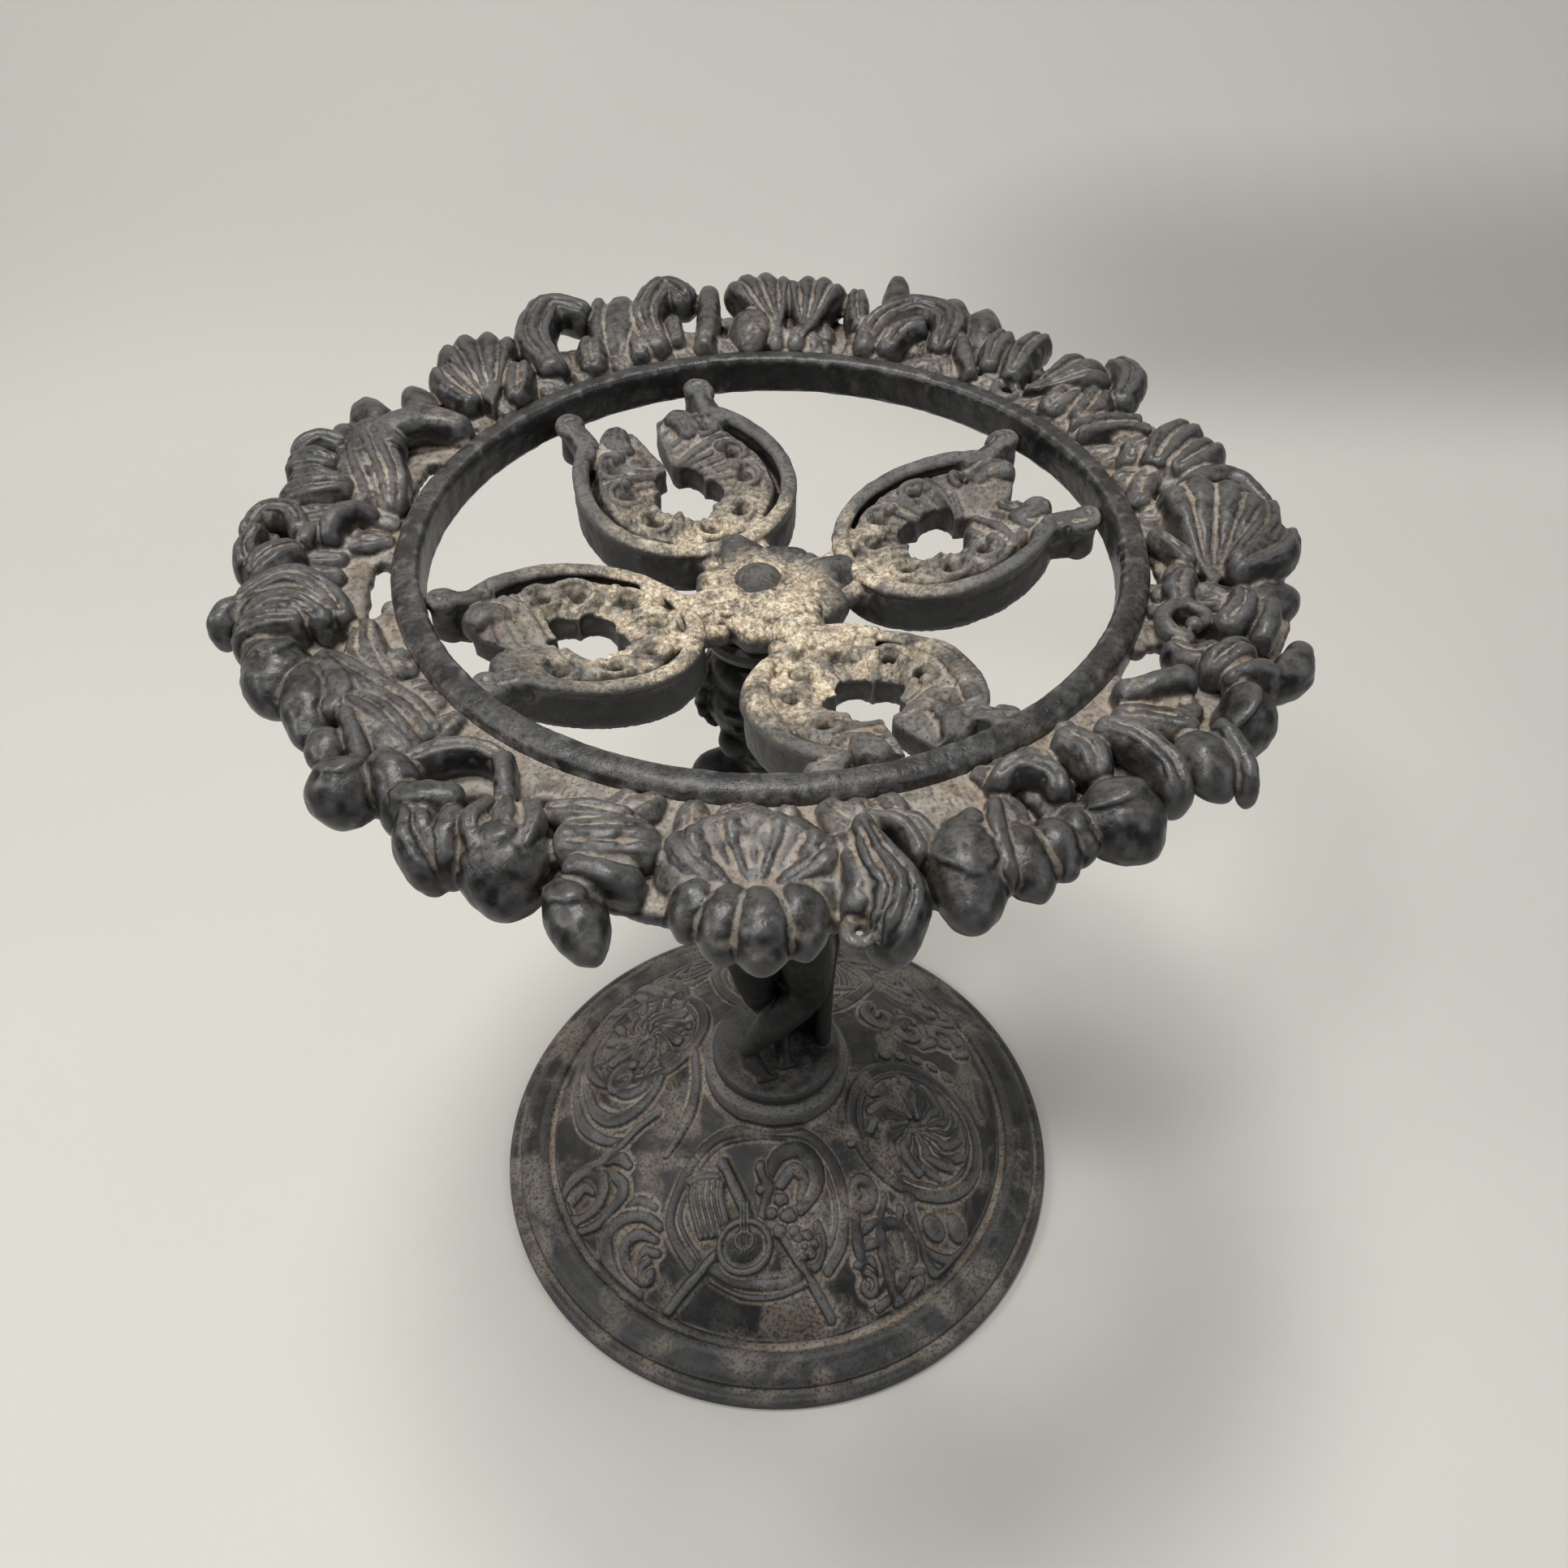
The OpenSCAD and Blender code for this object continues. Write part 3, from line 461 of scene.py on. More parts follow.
# Drawing lists of the border: see draw(). Points are x, y, lift in FRONT_AND_RIGHT and LEFT, and
# angle, how far out, lift in BACK
FRONT_AND_RIGHT = """
# Broad soft shell round a dusty hollow, with heavy glossy lobes hanging outwards under it
fan -7 -121 -4, -13 -99 0; 21 7 3 0.7 0.35 0.02
fan -4 -121 -4, -3.5 -97 1; 19 7 3 0.7 0.35 0.02
fan -1 -121 -4, 5.5 -100 0; 20 7 3 0.7 0.35 0.02
lobe -8 -119 -4, -16 -112 -1, -18.5 -104 -1.5; 4 10 9; 6 2 0.1 5
lobe 0 -119 -4, 8.5 -113 -1, 11 -106 -1.5; 4 10 9; 6 2 0.1 5
fruit -14 -110 -0.5, -22.5 -118 -5.5; 11.5
fruit -12 -114 -0.5, -18 -127 -5.5; 12
fruit -8 -116 -0.5, -11 -132.5 -5.5; 12.5
fruit -2.5 -117 -0.5, -2.5 -135 -5.5; 14
fruit 3 -115 -0.5, 6 -131.5 -5.5; 12.5
fruit 6.5 -111 -0.5, 12.5 -122.5 -5.5; 11
# Crook-shaped leaf
lobe 17 -103 0, 20 -113 1, 24 -123 0.5, 20 -132 -3; 5 10 12 11; 7 3 0.24 roll=2
lobe 13 -106 -0.5, 16 -116 0, 16.5 -126 -2; 4 7 8; 5 1
curl 16.8 -128.6 -1.5; 4.2 60 260 4.4
lobe 18 -101 0, 26 -105 1, 29 -113 -0.5; 3.4 4.4 4; 5
lobe 22 -100.5 0, 29 -103 0.5, 33 -109 -1; 3 4 3.4; 4.5
# Buds in their calyx
fruit 38 -100 0, 38.5 -127 -4; 17; calyx=2 collar=0.5
fruit 40 -100 2.5, 39 -112 3.5; 7
lobe 45 -98 1, 44 -108 2, 46 -118 -1; 3.6 5 4; 5
fruit 47 -101 -0.5, 53 -119 -4; 13
lobe 45 -94 0, 50 -89.5 2.5, 57 -92 2.5, 58 -98 1; 5 7 7 5; 5.5 2 0.2
fruit 54 -100 -0.5, 59 -114 -3; 12
fruit 61 -97 1, 62 -111 -3; 9
fruit 66 -92 0.5, 77 -108 -3; 18; calyx=2 collar=0.34
lobe 60 -78 0, 66 -84 1.5, 67 -92 0.5; 7 10 8; 6 2 0.2
lobe 69 -76 0, 76 -81 2, 82 -88 1, 84 -96 -2; 6 9 9 7; 6.5 2 0.2
fruit 89 -76 1, 95 -93 -2.5; 12.5
lobe 95 -76 1, 99 -84 0, 100 -92 -3; 4 5.5 4.5; 5.5
lobe 75 -65 -0.5, 84 -63.5 1.5, 94 -60 1.5; 8 7.4 8; 5.5 1 under=4
lobe 74 -70 -1, 84 -72 0, 92 -75 0; 6 9 7; 4.5 2 0.2
fruit 97 -69 0.5, 110 -73 -2; 18; calyx=2 collar=0.36
lobe 97 -59 1, 104 -54 3, 109 -52 1; 8 10 7; 6 2 0.25
lobe 100 -63 2, 108 -60 3, 113 -62 1; 4 6 5; 5
lobe 111 -61 -0.5, 117 -57 0.5, 121.5 -48 -0.5; 5 9.5 6.5; 6 1
curl 98 -38 2; 7.2 250 -330 5; lift=0.8
lobe 91 -46 -1, 96 -52 0.5, 103 -50 1; 6 8 7; 5 2 0.25
lobe 104 -43 0, 110 -37 1.5, 113 -28 0; 8 9 7; 6 2 0.25
lobe 112 -47 -1, 116 -40 1, 118 -32 0; 6 6 5; 5.5
# Dark rolled lip under the shell, then the shell with its deep flutes
fruit 112 -32 -2.5, 129 -22 -3; 12.5
fruit 108 -27 -2.5, 120 -30 -4; 11
fan 107 -25 -1.5, 116 19 1.5; 30 8.5 4 1.5 0.6 0.03; roll=1
lobe 111 -22 0, 124 -14 1, 130 -3 -1; 7 11 9; 7 2 0.24
lobe 112 -20 0.5, 123 -6 1.5, 127 8 0; 6 9 9; 7 2 0.22
lobe 96 -2 -1, 100 -10 0.5, 103 -17 0; 5 6 6; 5 2 0.25
fruit 97 -22 0, 104 -14 0; 7.5
lobe 97 -33 0, 98 -26 1, 102 -19 0; 7 8 6; 5 2 0.25
# Two-lobed leaf above the shell
lobe 101 24 0, 108 35 2, 117 46 0; 8 14 11; 7 2 0.28
lobe 106 22 0, 115 29 1.5, 121.5 37 -0.5; 7 11 9; 6.5 2 0.28
lobe 96 28 -0.5, 99 35 1, 104 38 0.5; 7 9 7; 5 2 0.22
lobe 96 10 -1, 98 19 0, 103 26 0; 6 8 7; 4.5 2 0.2
"""
BACK = """
lobe 27.5 0.02 0.5, 25.9 0.28 1, 23.5 0.5 0.5; 3.4 4 4; 4
lobe 29.8 0.02 1, 28.2 0.28 1.5, 25.8 0.5 1; 3.4 4 4; 4
lobe 30.5 0.46 0, 34.4 0.76 2, 39.5 0.86 0; 8 10 8; 6 2 0.24
fan 42.4 0.08 -1, 38.4 0.76 2; 21 7 3 1.6 0.25 0.06
lobe 36 0.02 0, 36.4 0.2 1, 37.6 0.38 0; 9 11 9; 5 2 0.28
lobe 30 0.1 0, 32 0.3 1, 34.6 0.5 1; 9 12 9; 5.5 2 0.25
lobe 46 0.12 0, 48.6 0.45 2, 49.4 0.78 1; 7 11 9; 6.5 2 0.26
lobe 50.8 0.16 0, 53 0.4 1.5, 54 0.68 0.5; 6 9 8; 6 2 0.24
curl 45 0.1 1; 5 120 280 4.2
fruit 60.2 0.34 0, 64.4 0.98 3; 13; ridges=5
fruit 55.6 0.4 0, 60 1 2; 12; ridges=5
lobe 52 0.02 0, 56 0.2 1.5, 59.4 0.46 1; 5 6 5; 5
# Broad scroll leaf that folds over in a smooth arch
lobe 73 0 0, 72.4 0.4 2.5, 68 0.66 3.5, 62.5 0.58 3, 60.5 0.2 1; 8 10 12 12 9; 6 3 0.25
lobe 69 0.02 1, 68 0.3 2.5, 65 0.44 3; 7 9 8; 6 3 0.25
lobe 70 0.46 1, 71.6 0.74 2, 72.4 1 3; 6 9 7; 6.5 1
lobe 75 0.3 0, 76.6 0.56 1, 77.4 0.84 1; 6 8 7; 6 2 0.22
# Twin palmettes
fan 88 0.14 -1, 92.2 0.99 4; 25 8 4 1.7 0.2 0.07
fan 83.8 0.08 -1, 83.2 0.98 3.5; 22 8 4 1.7 0.2 0.07
fruit 93.4 -0.02 1, 92.2 0.5 3; 14
fruit 88.8 0 1, 88.2 0.32 2; 8
fruit 85.2 0 1, 85.2 0.3 2; 8.5
fruit 82 0.02 0.5, 82.4 0.26 1; 6.5
# Rolled leaves to the left of the palmettes
lobe 109.6 0.02 0, 109 0.5 2.5, 104.6 0.86 3.5, 101.4 0.62 3; 8 11 12 9; 6.5 3 0.24
lobe 106 0.1 1, 105 0.45 2; 5 6; 5 2 0.25
lobe 101.8 0 0, 99.6 0.4 1, 98.4 0.82 2; 7 8 7; 6 1
fruit 116.4 0.12 0, 110 0.98 2.5; 14.5; ridges=5
lobe 118 0.34 0, 115.6 0.62 1, 113.6 0.9 1.5; 5 6.5 5.5; 5.5
lobe 113.4 0.02 0, 112 0.22 1, 110.2 0.44 1; 7 8 6; 5.5 2 0.22
lobe 128 0.1 0, 126.4 0.56 2.5, 120.6 0.9 3.5, 116.6 0.66 3; 9 13 13 9; 7 3 0.24
lobe 122.4 0.02 0, 120.6 0.22 1, 118.4 0.42 1; 8 10 8; 5.5 2 0.22
# Striped fan
fan 143 0.06 -1.5, 131.6 0.94 3; 27 8 4 1.9 0.2 0.08
lobe 143 0.2 -1, 142.6 0.46 1.5, 140.4 0.72 1; 6 10 9; 6.5 2 0.25
lobe 138.6 0.02 0, 134.6 0.2 1.5, 131.4 0.38 1; 7 10 8; 6 2 0.25
fruit 150 0.36 0, 144.4 0.82 0.5; 10.5; ridges=3
fruit 156.6 0.52 0, 149.6 0.98 0; 13; ridges=5
fruit 160.6 0.56 0, 155 0.94 -1; 10; ridges=3
# Arched leaf beside the slot
lobe 160.4 0.3 1, 157 0.46 2.5, 152 0.3 2.5, 149.6 0.02 0; 8 11 12 9; 6 1 under=4
"""
LEFT = """
# Long leaf with parallel furrows
lobe -112 52 0, -107 37 1.5, -101 23 1, -97.5 9 -0.5; 9 13 12 7; 6 4 0.26 4
lobe -115 44 0, -112 32 1, -107 20 0.5, -104 12 0; 7 10 10 7; 5.5 3 0.24 4
# Folded lobes
lobe -114 38 0, -122 40 2, -129 35 0; 7 9 9; 6.5 2 0.26
lobe -114 28 0, -122 30 1.5, -130 30 -1; 8 12 11; 7 2 0.26
lobe -112 20 0, -120 22 1, -128 22 -1.5; 7 10 9; 6.5 2 0.24
lobe -108 17 0.5, -117 15 2.5, -128 14 -0.5; 7 12 12; 7.5 3 0.22
lobe -107 9 0, -115 5 1, -124 5 0; 6 9 9; 6 2 0.2
# Shell round a dark eye, with drips below
lobe -117 -3 0, -122 5 2, -129.5 6 1, -131 -3 0; 6 8 8 7; 6.5 2 0.26
lobe -128 0 0.5, -129.5 -9 0.5, -127 -16 -1; 6 8 8; 7 2 0.24
lobe -116 -8 0, -122 -13 1.5, -127 -19 -1; 8 12 10; 6.5 2 0.26
curl -127.5 -5.2 1.6; 4.6 60 330 3.6; keep=0.8 ball_end=0
lobe -100 7 -0.5, -106 6 2.5, -110 0 3, -110 -6 0; 6 7 7 5; 5.5
lobe -113 2 0.5, -115.5 -4 2, -116 -8 1; 5 5.5 4.5; 5
# Tulip with ribs bent over it
lobe -99 -38 0, -106 -28 2, -116 -23.5 3, -127 -30 0; 6 9 10 8; 6 2 0.28
lobe -102 -39 0.5, -110 -33 2.5, -118 -32 2, -125 -36 -1; 6 9 10 8; 6 3 0.28
lobe -108 -38 0, -117 -39 1, -126 -41 -2; 8 11 10; 7 2 0.2
lobe -124 -28 -1, -129 -32 -1, -129.5 -38 -2; 6 8 7; 6
# Long veined leaves beside the hoop
lobe -96 -34 -1.5, -93 -47 -0.5, -85 -60 -1; 6 11 7; 4.5 3 0.28 4
lobe -104 -48 -0.5, -94 -58 0.5, -80 -68 -0.5, -73 -76 -1; 8 13 12 7; 5 3 0.28 4
lobe -98 -62 0, -87 -70 1, -76 -81 -0.5; 7 11 7; 5 3 0.26 4
# Row of fruit and lobes along the outer edge
fruit -114 -42 1, -119 -52 -2; 12
fruit -114 -43 1, -110 -64 -2.5; 17; calyx=3 collar=0.3
fruit -105.5 -51 2, -100 -76 -2; 12.5
lobe -101 -53 1, -95 -62 1, -97 -70 -1; 6 8 6; 5.5
fruit -97 -72 1, -94 -84 -0.5; 9.5
lobe -93 -69 1, -89 -77 1.5, -86 -86 0; 4 5 4.5; 5
fruit -89 -68.5 1, -78 -83 0.5; 9
fruit -91 -82 0, -88 -97 -3; 17; calyx=3 collar=0.34
lobe -83 -84 0.5, -78 -90 1, -76 -99 -3; 7 11 9; 7 1
lobe -78 -94 0, -71 -97 2.5, -62 -97 1.5; 7 9 7; 6 1
lobe -72 -98 0, -71 -106 0, -66 -113 -4; 9 11 10; 7 2 0.2
lobe -63 -99 0, -65 -106 1, -64 -113 -3; 6 7 6; 6 1
# Strap over the hole, and the stalk
lobe -78 -86 0, -71 -83 1.5, -62 -82 1.5, -56 -85 0; 7 7 6.5 6; 5.5 2 0.2 4
lobe -57 -83 0, -55.5 -90 1.5, -54 -98 1; 6 5 6; 6 1 under=4
# Pomegranate
fruit -54.5 -99 0, -52 -121 -4.5; 20.5; calyx=3 collar=0.32
fruit -59.5 -100 0.5, -61.5 -112 -1; 8
lobe -57 -97 2, -60 -104 4.5, -57.9 -112 3.2; 3 5 3.5; 4 2 0.2
lobe -53.75 -97 2, -53.5 -104 4.5, -53.35 -112 3.2; 3 6.5 3.5; 4 2 0.2
lobe -50.75 -97 2, -47.5 -104 4.5, -49.15 -112 3.2; 3 5 3.5; 4 2 0.2
# Broad leaf, its rolled edge and a glossy bud
lobe -47 -99 -0.5, -38 -99.5 1, -28 -101.5 0; 6 8 6; 5 2 0.25
lobe -44 -107 0, -33 -107.5 1, -22 -107 -0.5; 9 13 12; 5.5 3 0.16
lobe -41 -114 0, -33 -117 1, -25 -117.5 -1.5; 6 7.5 8; 6 1
fruit -42 -114 -0.5, -34 -133 -4.5; 12.5; calyx=2 collar=0.3
"""

# Openings through the border: two ends in plan and half their width
PIERCED = (
    ((-92, 37), (-95.5, 14), 2.6), ((-97.8, -9), (-96, -27), 2.4), ((-103, -41), (-97.5, -47), 1.5),
    ((-66, -78), (-60, -81), 1.5), ((-67, -91.5), (-61, -91.5), 3.0), ((-47.5, -92.5), (-41, -95.5), 1.6),
    ((93.5, -5), (94, -17), 2.4), ((83, -53), (90, -45), 3.6), ((74, -76.5), (80, -78.5), 2.2),
    ((30, -107.5), (39, -100), 1.4), ((-84.5, 58), (-82.5, 55), 0.9),
)
# How far out the plain flange lies under the leaves, round the border
FLANGE = (
    (-180, 0.78), (-165, 0.74), (-150, 0.68), (-120, 0.62), (-112, 0.62), (-104, 0.62), (-98, 0.66), (-84, 0.66),
    (-78, 0.62), (-62, 0.6), (-40, 0.62), (-28, 0.66), (-12, 0.76), (8, 0.72), (22, 0.64), (40, 0.6),
    (56, 0.62), (66, 0.5), (78, 0.6), (92, 0.7), (100, 0.5), (114, 0.55), (124, 0.6), (135, 0.62),
    (148, 0.6), (158, 0.7), (172, 0.76), (180, 0.78),
)


def pierced_gap(points):
    """Distance in plan of each point from the nearest opening's edge."""
    gaps = []
    for a, b, half in PIERCED:
        a, run = np.array(a, float), np.subtract(b, a).astype(float)
        along = np.clip((points[:, :2] - a) @ run / (run @ run), 0, 1)
        gaps.append(np.linalg.norm(points[:, :2] - a - along[:, None] * run, axis=1) - half)
    return np.min(gaps, axis=0)


def garland_root(c):
    """Flange under the leaves, joined to the hoop and open where the border is pierced."""
    angles = np.arange(-180, 180, 0.8)
    reach = np.interp(angles, *np.array(FLANGE).T)
    for angle, out in zip(angles, reach):
        s = np.linspace(-0.03, out, 40)
        line = np.array([band(angle, t, mix(-3.2, -4.6, min(1, t * 2.4))) for t in s])
        solid = pierced_gap(line) > 1.6
        edges = np.flatnonzero(np.diff(np.concatenate([[0], solid.astype(int), [0]])))
        for start, end in zip(edges[::2], edges[1::2]):
            if end - start > 2:
                tube(c, line[start:end], [2.7, 2.7], 10, 8)


def garland_ground(c):
    """Low leaves that cover the flange between the main ones."""
    random = np.random.default_rng(7)
    for angle in np.arange(-180, 180, 4.0):
        reach = float(np.interp(angle, *np.array(FLANGE).T))
        for start, end in ((0.0, 0.42), (0.34, 0.8)):
            lean = random.uniform(-6, 6)
            points = [
                band(angle, start * reach, -2.6),
                band(angle + lean * 0.4, mix(start, end, 0.5) * reach, random.uniform(-1.9, -0.7)),
                band(angle + lean, end * reach, -2.2),
            ]
            if min(pierced_gap(np.array(points))) > 4.6:
                lobe(c, points, [5, random.uniform(7, 10), 6], 4, int(random.integers(2, 4)), 0.25, 2.5)


def make_garland():
    clay = Clay()
    garland_root(clay)
    garland_ground(clay)
    draw(clay, FRONT_AND_RIGHT, at)
    shell_rim = [at(104, 5, 1), at(107.5, 15, 3), at(116, 21.5, 3), at(124, 20, 2.5), at(128.5, 12, 1)]
    tube(clay, spline(shell_rim, 7), [1.8, 2.7, 3, 3, 2.6], 40, 14)
    draw(clay, BACK, band)
    draw(clay, LEFT, at)
    return settle(clay, "leaf_garland", 0.45, soften=4, rough=0.5)


# ------------------------------------------------------------------ hoop, hub and scrolls


# Section of the hoop: how far out from its bore, and how far below its top
CROWN = (
    (0, 10.2), (0.05, 7), (0, 4), (0.1, 1.8), (0.6, 0.7), (1.5, 0.1), (3.4, 0), (5.2, 0.3),
    (6.4, 1.0), (7.1, 2.0), (7.5, 3.6), (7.5, 7), (7.2, 9.6), (5.5, 10.8), (2, 11), (0.5, 10.8),
)
ROUND_THE_HOOP = 1000


def make_hoop():
    """Plain hoop: crowned lip, slightly uneven, with a rough inner wall."""
    crown = [(HOOP_INNER + outwards, HOOP_TOP - down) for outwards, down in CROWN]
    profile = spline(np.array(crown + crown[:1], float), 91)[:-1]
    clay = Clay()
    clay.rings(np.swapaxes(revolve(profile, ROUND_THE_HOOP), 0, 1), closed=True)
    mesh = clay.mesh("basin_hoop")
    roughen(mesh, 0.3)
    return place(mesh, "basin_hoop")


# Each scroll: where it points, middle and half width of its loop, its volutes, and its hole's middle
SCROLLS = {
    "right": (23, 50.0, 26.3, 14.5, (48.8, 0.7)),
    "back": (119, 48.5, 29.2, 14.0, (47.2, 0.4)),
    "left": (207, 51.5, 25.6, 12.0, (51.5, 0.6)),
    "front": (293, 54.0, 25.7, 15.0, (53.4, 1.4)),
}
STRAP_HEIGHT = 13
# Section of the strap, from its middle and its rim
STRAP_SIDE = ((-1.9, -13), (-2.0, -6), (-1.8, -3.0), (-2.4, -1.7), (-1.9, -0.5), (-0.7, 0))
# Curls of the leaf: where each sits round the loop, and how far in from the strap
CURLS = ((62, 0.36), (98, 0.5), (134, 0.52), (172, 0.5), (210, 0.5), (246, 0.52), (280, 0.46), (310, 0.36))
EYE_DEPTH = 5.4
LEAF_TIPS = 3.5
# Broad leaf over the front strap: turns round the loop, and width
STRAP_LEAVES = (((52, 74, 100, 128), 8.5), ((140, 160, 182, 204), 9.5), ((214, 238, 262, 290), 7.5))
VOLUTE_SECTION = ((2.8, -13), (3.7, -12.2), (3.5, -6), (3.9, -3.6), (3.0, -2.6), (1.2, -2.4))
REACH_IN, REACH_OUT = 27.3, 30.4
OPEN_ANGLE = 34
HOLE_RADIUS = 8.8
VOLUTE_RING = HOOP_INNER - 4.3
VOLUTE_RADIUS = 4.2
SCROLL_DIP, SCROLL_DROP = 17, 2.5


def rim_height(x):
    """Height of a scroll's rim at a distance from the middle: it sinks from the hoop to the hub."""
    t = np.clip((np.asarray(x, float) - 17) / (HOOP_INNER - 17), 0, 1) ** 1.3
    return HOOP_TOP - mix(SCROLL_DIP, SCROLL_DROP, t)


def scroll_to_world(turn, points):
    """Turns points of a scroll, whose heights are measured from its rim, into place."""
    p = np.asarray(points, float)
    c, s = math.cos(math.radians(turn)), math.sin(math.radians(turn))
    x, y = p[..., 0], p[..., 1]
    return np.stack([x * c - y * s, x * s + y * c, rim_height(np.hypot(x, y * 0.5)) + p[..., 2]], -1)


def loop_point(middle, half, a):
    reach = np.where(np.cos(a) > 0, REACH_OUT, REACH_IN)
    return np.stack([middle + reach * np.cos(a), half * np.sin(a)], -1)


class Relief:
    """Carving drawn in plan: heights gathered from strokes, domes and rings."""

    def __init__(self, x, y, bold=1.0):
        self.x, self.y, self.bold = x, y, bold
        self.height = np.zeros(len(x))
        self.facing(0)

    def facing(self, degrees):
        """Turns what is drawn next about the axis."""
        c, s = math.cos(math.radians(degrees)), math.sin(math.radians(degrees))
        self.px, self.py = self.x * c + self.y * s, self.y * c - self.x * s

    def inside(self, x, y, rx, ry):
        d = ((self.px - x) / rx) ** 2 + ((self.py - y) / ry) ** 2
        near = np.flatnonzero(d < 1)
        return near, d[near]

    def raise_to(self, picked, value):
        self.height[picked] = np.maximum(self.height[picked], value)

    def stroke(self, points, width, height, taper=0.6, root=1.0):
        """Round ridge along a curve, whose width runs from root to taper times the given one."""
        line = spline(points, 6 * len(points) + 6)
        n = len(line)
        for k in range(n - 1):
            a, b = line[k], line[k + 1]
            part = k / (n - 1)
            scale = mix(root, 1, part / 0.5) if part < 0.5 else mix(1, taper, (part - 0.5) / 0.5)
            w = width / 2 * scale * self.bold
            low, high = np.minimum(a, b) - w, np.maximum(a, b) + w
            across = (self.px > low[0]) & (self.px < high[0])
            near = np.flatnonzero(across & (self.py > low[1]) & (self.py < high[1]))
            if not len(near):
                continue
            ab = b - a
            qx, qy = self.px[near] - a[0], self.py[near] - a[1]
            t = np.clip((qx * ab[0] + qy * ab[1]) / max(ab @ ab, 1e-6), 0, 1)
            d = np.hypot(qx - ab[0] * t, qy - ab[1] * t)
            self.raise_to(near, height * np.sqrt(np.clip(1 - (d / w) ** 2, 0, 1)) * mix(0.55, 1, scale))

    def dome(self, x, y, rx, ry, height, base=0.0):
        near, d = self.inside(x, y, rx, ry)
        self.raise_to(near, base + height * np.sqrt(1 - d))

    def hollow(self, x, y, rx, ry, depth):
        near, d = self.inside(x, y, rx, ry)
        self.height[near] -= depth * (1 - d) ** 2

    def ring(self, x, y, rx, ry, width, height, start=0, sweep=360):
        a = np.radians(np.linspace(start, start + sweep, 19))
        self.stroke(np.stack([x + rx * np.cos(a), y + ry * np.sin(a)], -1), width, height, 1.0)

    def spiral(self, x, y, radius, start, sweep, width, height):
        t = np.linspace(0, 1, 12)
        a = np.radians(start + sweep * t)
        r = radius * (1 - 0.78 * t)
        self.stroke(np.stack([x + r * np.cos(a), y + r * np.sin(a)], -1), width, height)


